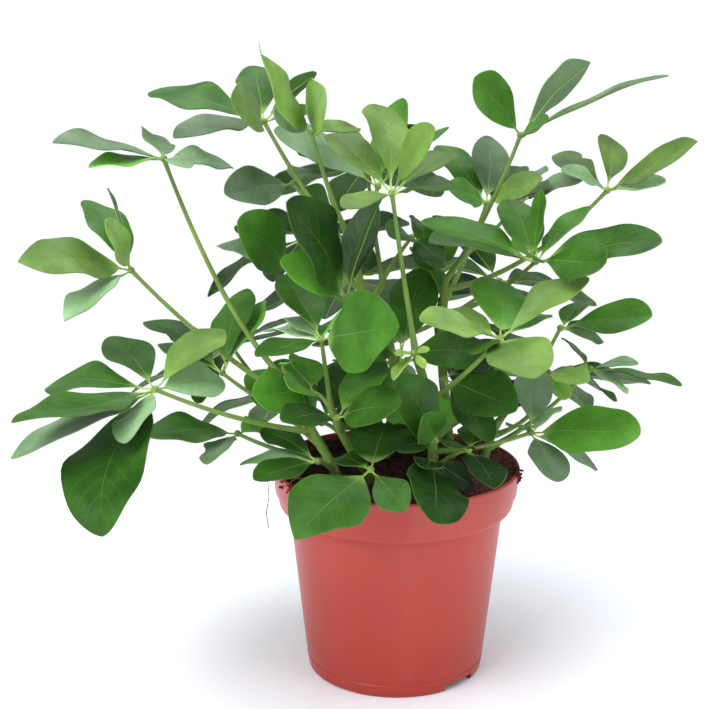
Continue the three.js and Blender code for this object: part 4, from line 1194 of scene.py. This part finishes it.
def make_leaflet(settings, blade, rib, leaf, form, traits):
    """One leaflet's blade and rib, shaped as the solid holds it."""
    grid = coordinates(blade)
    turn = (grid[:, 0] + 1) / 2
    s = BLADE_START + (1 - BLADE_START) * (1 - np.cos(math.pi * turn)) / 2
    t = grid[:, 1]
    half = half_width(s, form["tapers"]) * BLADE_WIDTH * leaf["width"] * leaf["length"] / 2
    side = np.where(t < 0, *(EDGE_WAVE * np.sin(EDGE_TURNS * s + phase) for phase in form["phases"][2:]))
    edge = t * np.minimum(1, (half + LEAST_HALF) / STEM_HALF) * (1 + side * np.sin(math.pi * s))
    bitten_side, bite_at, bite_depth = form["bite"]
    edge *= 1 - bite_depth * (t * bitten_side > 0) * np.exp(-(((s - bite_at) / BITE_REACH) ** 2))
    made = copy_of(blade)
    reshape(made, blade_points(leaf, s, edge, droop(leaf, form, s, t, half), form["tapers"]))
    write_attribute(made, "place", (s, t * half, half))
    write_attribute(made, "traits", traits)
    tube = coordinates(rib)
    s = RIB_START + (RIB_END - RIB_START) * tube[:, 2]
    radius = rib_radius(settings, s)
    middle = np.zeros(len(s))
    under = settings.thickness / MM * np.clip(s / STEM_SHARE, 0, 1) + radius * RIB_SINK
    points = blade_points(leaf, s, middle, droop(leaf, form, s, middle, middle) + under)
    points += (tube[:, 0] * radius)[:, None] * leaf["across"] + (tube[:, 1] * radius)[:, None] * leaf["out"]
    stem = copy_of(rib)
    reshape(stem, points)
    return made, stem


def thread(leaf, form):
    """The withered thread at a blade's tip, bent upward."""
    s = np.array((RIB_END, 1.0))
    middle = np.zeros(2)
    start, tip = blade_points(leaf, s, middle, droop(leaf, form, s, middle, middle) + THREAD_SINK)
    run = (tip - start) / np.linalg.norm(tip - start)
    share = np.linspace(0, 1, THREAD_POINTS)
    rise = np.array((0, 0, THREAD_UP)) * share[:, None]
    points = tip - run * THREAD_BACK + share[:, None] * (run * THREAD_FORWARD + rise)
    return limb("thread", points, THREAD_RADIUS + (THREAD_END_RADIUS - THREAD_RADIUS) * share, sides=6)


def make_crown(settings, blade, rib, crown, corners, name, withered=None):
    """The leaflets of one crown that its solid holds: solid blades, and their ribs."""
    blades = []
    ribs = []
    for index, (leaf, mark) in enumerate(zip(seated_crown(crown, corners), crown["marks"])):
        if leaf is None:
            continue
        chance = random.Random(f"{name} {index}")
        form = leaflet_form(chance, leaf, mark)
        if "n" in mark:
            leaf = {**leaf, "width": leaf["width"] * SLIM_SHARE}
        # How light a leaflet is: partly its own tone, partly painted shade and light.
        light = int(mark[0]) / 9 + chance.uniform(-LIGHTNESS_SCATTER, LIGHTNESS_SCATTER)
        traits = (light, mark.count("y") - mark.count("g"), chance.random())
        made, stem = make_leaflet(settings, blade, rib, leaf, form, traits)
        blades.append(made)
        ribs.append(stem)
        if "t" in mark:
            ribs.append(thread(leaf, form))
            wear(ribs[-1], withered)
    if not blades:
        raise ValueError(f"{name}: the solid holds none of its leaflets")
    whole = joined("blades", blades)
    solid = {"offset": -1, "material_offset": 1, "use_quality_normals": True}
    apply_modifier(whole, "SOLIDIFY", thickness=settings.thickness, **solid)
    return whole, joined("ribs", ribs)


def leaflet_templates(leaf, name, stem):
    """The blade and the rib that leaflets are copies of, in their materials."""
    blade = blade_template(leaf)
    wear(blade, leaf_paint(f"{name}_upper", leaf, False), leaf_paint(f"{name}_under", leaf, True))
    rib = tube_template(RIB_SIDES, RIB_RINGS)
    wear(rib, stem)
    return blade, rib


def make_stalk(frond, corners, green):
    """A leaf's stalk, swollen at both ends, and the hub on its tip."""
    points = spaced(seated_stalk(frond, corners), STALK_POINTS)
    share = np.linspace(0, 1, STALK_POINTS + 1)
    radii = STALK_BASE_RADIUS + (STALK_TOP_RADIUS - STALK_BASE_RADIUS) * share
    radii += BASE_SWELL * np.clip(1 - share / BASE_SHARE, 0, 1)
    radii += TOP_SWELL * np.clip(1 - (1 - share) / TOP_SHARE, 0, 1)
    stalk = limb("stalk", points, radii)
    deselect()
    hub = tuple(np.array(frond["hub"]) * MM)
    bpy.ops.mesh.primitive_uv_sphere_add(
        segments=HUB_SEGMENTS, ring_count=HUB_RINGS, radius=HUB_RADIUS * MM, location=hub
    )
    knob = bpy.context.object
    for piece in (stalk, knob):
        wear(piece, green)
    return stalk, knob


class UMBRELLA_OT_leaves(bpy.types.Operator):
    """Makes every compound leaf: its stalk, its hub and its leaflets"""

    bl_idname = "umbrella.leaves"
    bl_label = "Compound leaves"

    def execute(self, context):
        settings = context.scene.umbrella_leaf
        green = stalk_paint("stalk_green", settings, 0.0)
        blade, rib = leaflet_templates(settings, "leaf", stalk_paint("stem_green", settings, 0.75))
        withered = plain_paint("withered_tip", settings.withered, 0.7)
        for name, frond in all_fronds().items():
            node = f"frond_{name}"
            corners = corners_of(node)
            blades, ribs = make_crown(settings, blade, rib, frond, corners, name, withered)
            stalk, knob = make_stalk(frond, corners, green)
            piece = joined(f"leaf_{name}", [ribs, stalk, knob, blades])
            smooth(piece, PLANT_SHARP)
            finish_piece(piece, node)
        remove(blade, rib)
        return {"FINISHED"}


def cane_radii(name, points, scar_step):
    """A cane's radius at each point: a slow taper, thicker at the leaf scars and rounded at the tip."""
    share = np.linspace(0, 1, len(points))
    radii = CANE_RADIUS + (CANE_TIP_RADIUS - CANE_RADIUS) * share
    step = scar_step / MM
    start = random.Random(name).uniform(0, step)
    ring = np.abs((points[:, 2] - start) / step % 1 - 0.5)
    radii *= 1 + SCAR_SWELL * np.clip(1 - ring / SCAR_SHARE, 0, 1) - CANE_THINS * ring
    radii[-len(CANE_TIP_ROUND) :] *= CANE_TIP_ROUND
    return radii


class UMBRELLA_OT_canes(bpy.types.Operator):
    """Makes the canes with their leaf scars and the new growth on the left one's tip"""

    bl_idname = "umbrella.canes"
    bl_label = "Canes"

    def execute(self, context):
        settings = context.scene.umbrella_cane
        leaf = context.scene.umbrella_leaf
        bark = cane_paint(settings)
        blade, rib = leaflet_templates(leaf, "bud", stalk_paint("bud_stem", leaf, 0.5))
        for name, cane in CANES.items():
            node = f"cane_{name}"
            points = spaced(cane_curve(cane), CANE_POINTS)
            stem = limb("stem", points, cane_radii(name, points, settings.scar_step), sides=14)
            wear(stem, bark)
            pieces = [stem]
            if name in TUFTS:
                blades, ribs = make_crown(leaf, blade, rib, tuft_frond(name), corners_of(node), name)
                pieces = [ribs, blades, stem]
            piece = joined(f"stem_{name}", pieces)
            smooth(piece, PLANT_SHARP)
            finish_piece(piece, node)
        remove(blade, rib)
        return {"FINISHED"}


# The pot, in millimetres and degrees. Its rim's radius and its height are settings.
WALL = 1.8
FLOOR = 2.2
COLLAR_FOOT = 81.5
COLLAR_RADIUS = 57.2
COLLAR_ROUND = 4.8
COLLAR_LINE = 90.4
COLLAR_LINE_STEP = 0.5
BODY_TOP_RADIUS = 51.9
FOOT_RADIUS = 43.1
FOOT_CHAMFER = 1.4
FOOT_LINE = 6.0
BODY_RINGS = 12
ROUND_STEPS = 8
BODY_SLOPE = (BODY_TOP_RADIUS - FOOT_RADIUS) / (COLLAR_FOOT - FOOT_CHAMFER)
NOTCHES = 2
NOTCH_WIDTH = 19
NOTCH_HEIGHT = 3.4
NOTCH_ROUND = 0.8
NOTCH_MIDDLE = 41.5
NOTCH_REACH = 15
NOTCH_FIRST_ANGLE = 315


def arc(centre, radii, first, last, steps):
    """Points of a round stretch, as pairs of radius and height."""
    made = []
    for i in range(steps + 1):
        turn = math.radians(first + (last - first) * i / steps)
        made.append((centre[0] + radii[0] * math.cos(turn), centre[1] + radii[1] * math.sin(turn)))
    return made


def collar_slope(pot):
    """How much wider the collar grows for each millimetre up it."""
    return (pot.rim_radius / MM - COLLAR_RADIUS) / (pot.height / MM - COLLAR_FOOT)


def pot_profile(pot):
    """The pot's outline: from the foot up the outside, over the rim and down the inside."""
    rim = pot.rim_radius / MM
    top = pot.height / MM
    line = COLLAR_RADIUS + collar_slope(pot) * (COLLAR_LINE - COLLAR_FOOT)
    step = COLLAR_RADIUS - BODY_TOP_RADIUS
    inner = FOOT_RADIUS + BODY_SLOPE * FLOOR - WALL
    body = np.linspace(FOOT_LINE + 3, COLLAR_FOOT - 1.5, BODY_RINGS)
    return [
        *arc((FOOT_RADIUS - FOOT_CHAMFER, FOOT_CHAMFER), (FOOT_CHAMFER,) * 2, -90, 0, ROUND_STEPS // 2),
        (FOOT_RADIUS + BODY_SLOPE * FOOT_LINE, FOOT_LINE),
        (FOOT_RADIUS + BODY_SLOPE * FOOT_LINE - 0.25, FOOT_LINE + 0.35),
        *((FOOT_RADIUS + BODY_SLOPE * z, z) for z in body),
        (BODY_TOP_RADIUS - 0.05, COLLAR_FOOT - 0.4),
        *arc((BODY_TOP_RADIUS, COLLAR_FOOT + COLLAR_ROUND), (step, COLLAR_ROUND), -86, 0, ROUND_STEPS),
        (line - 0.1, COLLAR_LINE - 0.3),
        (line + COLLAR_LINE_STEP * 0.6, COLLAR_LINE),
        (line + COLLAR_LINE_STEP, COLLAR_LINE + COLLAR_LINE_STEP),
        (rim - 0.12, top - WALL),
        *arc((rim - WALL / 2, top - WALL / 2), (WALL / 2, WALL / 2), 0, 180, ROUND_STEPS),
        (COLLAR_RADIUS - WALL, COLLAR_FOOT + WALL + COLLAR_ROUND / 2),
        (BODY_TOP_RADIUS - WALL, COLLAR_FOOT + WALL),
        (inner + 0.6, FLOOR + 1.5),
        (inner - 1.2, FLOOR),
    ]


def notch_cutter():
    """Rounded blocks in the shape of the drain notches, as one object."""
    blocks = []
    for i in range(NOTCHES):
        turn = math.radians(NOTCH_FIRST_ANGLE + 360 * i / NOTCHES)
        place = (NOTCH_MIDDLE * MM * math.cos(turn), NOTCH_MIDDLE * MM * math.sin(turn), 0)
        deselect()
        bpy.ops.mesh.primitive_cube_add(size=1, location=place, rotation=(0, 0, turn))
        block = bpy.context.object
        block.scale = (NOTCH_REACH * MM, NOTCH_WIDTH * MM, 2 * NOTCH_HEIGHT * MM)
        blocks.append(block)
    cutter = joined("notches", blocks)
    apply_modifier(cutter, "BEVEL", width=NOTCH_ROUND * MM, segments=3)
    return cutter


class UMBRELLA_OT_pot(bpy.types.Operator):
    """Turns the pot's wall and cuts the drain notches in its foot"""

    bl_idname = "umbrella.pot"
    bl_label = "Pot"

    def execute(self, context):
        settings = context.scene.umbrella_pot
        pot = turned("nursery_pot", pot_profile(settings), settings.segments)
        cutter = notch_cutter()
        apply_modifier(pot, "BOOLEAN", operation="DIFFERENCE", solver="EXACT", object=cutter)
        remove(cutter)
        wear(pot, pot_paint(settings))
        smooth(pot, POT_SHARP)
        finish_piece(pot, "pot")
        return {"FINISHED"}


PEAT_SEED = 41
SOIL_RINGS = 34
SOIL_SEGMENTS = 120
SOIL_GAP = 0.3
# The highest that the peat reaches.
PEAT_TOP = 102.4
# Where the peat is heaped up: x, y, reach and height of each heap.
HEAPS = ((46, 4, 20, 7), (-50, -14, 10, 4.5), (-2, 46, 22, 5.5), (-38, 30, 14, 5), (42, 36, 15, 5))
# Relief on the mound: how closely it is packed, where it is cut and how high it stands.
LUMPS = ((0.16, 3.0, 1.1), (0.55, 9.0, 0.9))
# Loose crumbs: their sizes and the scatter of them, how rough and how stretched each is, how far
# they stay from the peat's edge, how high they lie and how often one lies on a heap.
CRUMB_SIZES = (0.5, 0.6, 0.8, 1.1, 1.5)
CRUMB_SCATTER = (0.7, 1.2)
CRUMB_ROUGH = (0.7, 1.3)
CRUMB_STRETCH = ((0.8, 1.7), (0.7, 1.3), (0.5, 0.9))
CRUMB_MARGIN = 0.8
CRUMB_RISE = 0.25
HEAPED_EVERY = 3
# Loose fibres: how far they start and stay from the peat's edge, their points, the way between
# two, the most that one bends there, its radius and its height.
FIBRE_START = 3
FIBRE_MARGIN = 1
FIBRE_POINTS = 5
FIBRE_STEP = 1.6
FIBRE_BEND = 0.7
FIBRE_RADIUS = 0.16
FIBRE_RISE = (0.1, 1.0)
# Where crumbs spilled over the rim: the middle angle and the spread to each side, in degrees.
SPILLS = ((-14, 6), (216, 9))
# How many spilled at each place, their sizes, how far they dropped and the spread of it, and the
# share of its size that each lies outward and up.
SPILL_CRUMBS = 30
SPILL_SIZES = (0.5, 1.1)
SPILL_DROP = (1.5, 2)
SPILL_OUT = 0.6
SPILL_UP = 0.4
# Fine roots at the rim: how many, how far inside it one starts and ends outside it, how far round
# they spread and drift, in degrees and radians, their radius, and the height of each point above
# the rim and the scatter of it.
ROOTLETS = 7
ROOTLET_START = 14
ROOTLET_END = 0.6
ROOTLET_SPREAD = 10
ROOTLET_DRIFT = 0.25
ROOTLET_RADIUS = 0.2
ROOTLET_RISE = (-2.5, -1.2, 0.2, 0.9, 0.9, -1.0)
ROOTLET_SCATTER = 0.6
# A root hair that hangs over the rim.
HAIR_RADIUS = 0.22
ROOT_HAIR = (
    (-49, -18, 98.5), (-54.5, -19, 102.8), (-59.3, -18.6, 104.2), (-61.4, -18, 100.5), (-60.9, -18, 92),
    (-62.3, -18, 84), (-61.4, -18, 76.3),
)


def soil_top(x, y):
    """The height of the peat's surface: a low mound with gentle lumps, in millimetres."""
    share = min(1, math.hypot(x, y) / 60)
    mound = (SOIL_CROWN - SOIL_EDGE) * math.cos(math.pi / 2 * share)
    lump = SOIL_LUMP * math.sin(SOIL_WAVE_X * x + 1) * math.cos(SOIL_WAVE_Y * y)
    return SOIL_EDGE + mound + lump * (1 - share**4)


def peat_height(x, y):
    """The mound with its heaps and crumbly relief on it."""
    relief = sum(high * noise.noise(Vector((x * close, y * close, cut))) for close, cut, high in LUMPS)
    heap = 0
    for at_x, at_y, reach, high in HEAPS:
        heap += high * math.exp(-((x - at_x) ** 2 + (y - at_y) ** 2) / (2 * reach**2))
    return min(PEAT_TOP, soil_top(x, y) + relief + heap)


def peat_body(settings, band, edge):
    """The filling of the pot, with a rough top."""
    gap = WALL + SOIL_GAP
    profile = [
        (FOOT_RADIUS + BODY_SLOPE * FLOOR - gap - 1.5, FLOOR + SOIL_GAP),
        (FOOT_RADIUS + BODY_SLOPE * FLOOR - gap, FLOOR + 2),
        (BODY_TOP_RADIUS - gap, COLLAR_FOOT + WALL + SOIL_GAP),
        (COLLAR_RADIUS - gap, COLLAR_FOOT + WALL + COLLAR_ROUND / 2 + SOIL_GAP),
        *((edge * (1 - i / SOIL_RINGS), SOIL_EDGE) for i in range(SOIL_RINGS)),
    ]
    soil = turned("peat", profile, SOIL_SEGMENTS)
    points = coordinates(soil) / MM
    for point in points:
        if point[2] > SOIL_EDGE - 0.5:
            point[2] = peat_height(point[0], point[1])
            point[:2] *= 1 + band * (point[2] - SOIL_EDGE) / edge
    reshape(soil, points)
    wear(soil, peat_paint(settings, "peat_soil", 0.4))
    smooth(soil, PEAT_SHARP)
    return soil


def loose_crumbs(chance, count, edge):
    """Places and sizes of the crumbs that lie on the peat, every third one on a heap."""
    places = []
    for index in range(count):
        reach = (edge - CRUMB_MARGIN) * math.sqrt(chance.random())
        turn = chance.uniform(0, 2 * math.pi)
        x, y = reach * math.cos(turn), reach * math.sin(turn)
        if index % HEAPED_EVERY == 0:
            at_x, at_y, spread, _ = chance.choice(HEAPS)
            x, y = at_x + chance.gauss(0, spread), at_y + chance.gauss(0, spread)
            pull = min(1, (edge - CRUMB_MARGIN) / math.hypot(x, y))
            x, y = x * pull, y * pull
        size = chance.choice(CRUMB_SIZES) * chance.uniform(*CRUMB_SCATTER)
        places.append((x, y, peat_height(x, y) + size * CRUMB_RISE, size))
    return places


def spilled_crumbs(chance, rim, top, band):
    """Places and sizes of the crumbs on the rim and below it."""
    places = []
    for middle, spread in SPILLS:
        for _ in range(SPILL_CRUMBS):
            turn = math.radians(chance.gauss(middle, spread / 2))
            size = chance.uniform(*SPILL_SIZES)
            drop = max(0, chance.gauss(*SPILL_DROP))
            reach = rim - WALL / 2 if drop == 0 else rim + SPILL_OUT * size - band * drop
            height = top + SPILL_UP * size - drop
            places.append((reach * math.cos(turn), reach * math.sin(turn), height, size))
    return places


def rough_copies(chance, crumb, places):
    """Copies of a crumb at these places, each of its own rough shape."""
    shape = coordinates(crumb)
    made = []
    for *place, size in places:
        rough = np.array([chance.uniform(*CRUMB_ROUGH) for _ in range(len(shape))])[:, None]
        stretch = np.array([chance.uniform(*limits) for limits in CRUMB_STRETCH])
        made.append(copy_of(crumb))
        reshape(made[-1], shape * rough * stretch * size + place)
    return made


def loose_fibre(chance, edge):
    """One crooked fibre that lies on the peat."""
    reach = (edge - FIBRE_START) * math.sqrt(chance.random())
    turn = chance.uniform(0, 2 * math.pi)
    heading = chance.uniform(0, 2 * math.pi)
    x, y = reach * math.cos(turn), reach * math.sin(turn)
    points = []
    for _ in range(FIBRE_POINTS):
        points.append((x, y, peat_height(x, y) + chance.uniform(*FIBRE_RISE)))
        heading += chance.uniform(-FIBRE_BEND, FIBRE_BEND)
        x += FIBRE_STEP * math.cos(heading)
        y += FIBRE_STEP * math.sin(heading)
        pull = min(1, (edge - FIBRE_MARGIN) / math.hypot(x, y))
        x, y = x * pull, y * pull
    return limb("fibre", points, [FIBRE_RADIUS] * FIBRE_POINTS, sides=4)


def rim_rootlet(chance, rim, top):
    """One fine root that runs from the peat up to the rim."""
    turn = math.radians(SPILLS[1][0] + chance.uniform(-ROOTLET_SPREAD, ROOTLET_SPREAD))
    drift = chance.uniform(-ROOTLET_DRIFT, ROOTLET_DRIFT)
    points = []
    for share, rise in zip(np.linspace(0, 1, len(ROOTLET_RISE)), ROOTLET_RISE):
        reach = rim - ROOTLET_START + (ROOTLET_START + ROOTLET_END) * share
        way = turn + drift * share
        height = top + rise + chance.uniform(0, ROOTLET_SCATTER)
        points.append((reach * math.cos(way), reach * math.sin(way), height))
    return limb("rootlet", points, [ROOTLET_RADIUS] * len(points), sides=6)


def loose_bits(settings, rim, top, band, edge):
    """Crumbs, fibres, fine roots and a root hair on the peat and at the rim, as one object."""
    chance = random.Random(PEAT_SEED)
    deselect()
    bpy.ops.mesh.primitive_ico_sphere_add(subdivisions=1, radius=1)
    crumb = bpy.context.object
    damp = peat_paint(settings, "peat_crumb", 0.0)
    wear(crumb, damp)
    on_peat = loose_crumbs(chance, settings.crumbs, edge)
    spilled = spilled_crumbs(chance, rim, top, band)
    pieces = rough_copies(chance, crumb, on_peat)
    wear(crumb, plain_paint("peat_dust", settings.dust, 0.9))
    pieces += rough_copies(chance, crumb, spilled)
    remove(crumb)
    fibres = [loose_fibre(chance, edge) for _ in range(settings.fibres)]
    roots = [rim_rootlet(chance, rim, top) for _ in range(ROOTLETS)]
    hair = limb("root_hair", ROOT_HAIR, [HAIR_RADIUS] * len(ROOT_HAIR), sides=6)
    rootlet = plain_paint("rootlet_tan", settings.rootlet, 0.8)
    for piece in (*fibres, hair):
        wear(piece, damp)
    for piece in roots:
        wear(piece, rootlet)
    return joined("peat_crumbs", [*pieces, *fibres, *roots, hair])


class UMBRELLA_OT_soil(bpy.types.Operator):
    """Makes the peat: a rough mound with loose crumbs, fibres and fine roots on it"""

    bl_idname = "umbrella.soil"
    bl_label = "Peat"

    def execute(self, context):
        settings = context.scene.umbrella_soil
        pot = context.scene.umbrella_pot
        rim = pot.rim_radius / MM
        top = pot.height / MM
        band = collar_slope(pot)
        edge = COLLAR_RADIUS + band * (SOIL_EDGE - COLLAR_FOOT) - (WALL + SOIL_GAP)
        soil = peat_body(settings, band, edge)
        loose = loose_bits(settings, rim, top, band, edge)
        for piece in (soil, loose):
            finish_piece(piece, "soil")
        return {"FINISHED"}


# Each light: its name, place, size and colour.
LIGHTS = (
    ("key", (-0.85, -0.85, 1.2), 1.0, (0.98, 0.98, 1.0)),
    ("fill", (1.1, -0.6, 0.8), 1.0, (0.96, 0.97, 1.0)),
    ("top", (0.1, 0.2, 1.4), 1.8, (0.97, 0.98, 1.0)),
)
LIGHT_AIM = (0, 0, 0.17)
SKY_COLOUR = (0.96, 0.97, 1.0, 1.0)
SENSOR_WIDTH = 36


def add_floor(stage):
    """The pale floor, which ends a little way behind the plant."""
    deselect()
    bpy.ops.mesh.primitive_plane_add(size=1, location=(0, (stage.floor_back - stage.floor_reach) / 2, 0))
    floor = bpy.context.object
    floor.scale = (2 * stage.floor_reach, stage.floor_back + stage.floor_reach, 1)
    bpy.ops.object.transform_apply(location=True, rotation=True, scale=True)
    floor.name = "floor"
    wear(floor, plain_paint("floor_white", stage.floor_colour, 0.55))


def add_lights(stage):
    """Soft square lights that face the plant."""
    for name, place, size, colour in LIGHTS:
        turn = (Vector(LIGHT_AIM) - Vector(place)).to_track_quat("-Z", "Y").to_euler()
        bpy.ops.object.light_add(type="AREA", location=place, rotation=turn)
        light = bpy.context.object
        light.name = f"light_{name}"
        light.data.size = size
        light.data.energy = getattr(stage, f"{name}_power")
        light.data.color = colour


def add_sky(scene, stage):
    """White surroundings that light the plant more softly than they look."""
    world = bpy.data.worlds.new("studio")
    world.use_nodes = True
    nodes = world.node_tree.nodes
    nodes["Background"].inputs["Color"].default_value = SKY_COLOUR
    strength = nodes.new("ShaderNodeMapRange")
    strength.inputs["To Min"].default_value = stage.sky
    strength.inputs["To Max"].default_value = stage.backdrop
    links = world.node_tree.links
    links.new(nodes.new("ShaderNodeLightPath").outputs["Is Camera Ray"], strength.inputs["Value"])
    links.new(strength.outputs["Result"], nodes["Background"].inputs["Strength"])
    scene.world = world


def add_camera(scene, stage):
    """The camera, which looks a little down on the plant."""
    pitch = (math.pi / 2 - stage.camera_pitch, 0, 0)
    bpy.ops.object.camera_add(location=stage.camera_place, rotation=pitch)
    camera = bpy.context.object
    camera.data.lens = stage.camera_lens
    camera.data.sensor_width = SENSOR_WIDTH
    scene.camera = camera


class UMBRELLA_OT_stage(bpy.types.Operator):
    """Sets the pale floor, the soft lights and the camera"""

    bl_idname = "umbrella.stage"
    bl_label = "Stage"

    def execute(self, context):
        settings = context.scene.umbrella_stage
        add_floor(settings)
        add_lights(settings)
        add_sky(context.scene, settings)
        add_camera(context.scene, settings)
        context.scene.view_settings.view_transform = "Standard"
        return {"FINISHED"}


class UMBRELLA_PT_panel(bpy.types.Panel):
    """Lists the pieces of the plant with their settings"""

    bl_label = "Umbrella plant"
    bl_idname = "UMBRELLA_PT_panel"
    bl_space_type = "VIEW_3D"
    bl_region_type = "UI"
    bl_category = "Umbrella plant"

    def draw(self, context):
        for operator, group in PIECES:
            box = self.layout.box()
            box.operator(operator.bl_idname)
            settings = getattr(context.scene, group)
            for name in settings.bl_rna.properties.keys():
                if name not in {"rna_type", "name"}:
                    box.prop(settings, name)


GROUPS = {
    "umbrella_leaf": LeafSettings,
    "umbrella_cane": CaneSettings,
    "umbrella_pot": PotSettings,
    "umbrella_soil": SoilSettings,
    "umbrella_stage": StageSettings,
}
PIECES = (
    (UMBRELLA_OT_pot, "umbrella_pot"),
    (UMBRELLA_OT_soil, "umbrella_soil"),
    (UMBRELLA_OT_canes, "umbrella_cane"),
    (UMBRELLA_OT_leaves, "umbrella_leaf"),
    (UMBRELLA_OT_stage, "umbrella_stage"),
)
CLASSES = (*GROUPS.values(), *(operator for operator, _ in PIECES), UMBRELLA_PT_panel)


def register():
    """Registers the classes and hangs their settings on the scene."""
    for made in CLASSES:
        bpy.utils.register_class(made)
    for name, group in GROUPS.items():
        setattr(bpy.types.Scene, name, PointerProperty(type=group))


def unregister():
    """Takes the settings and the classes away again."""
    for name in GROUPS:
        delattr(bpy.types.Scene, name)
    for made in reversed(CLASSES):
        bpy.utils.unregister_class(made)


def main():
    """Makes every piece and the stage."""
    register()
    for operator, _ in PIECES:
        group, name = operator.bl_idname.split(".")
        getattr(getattr(bpy.ops, group), name)()


if __name__ == "__main__":
    main()
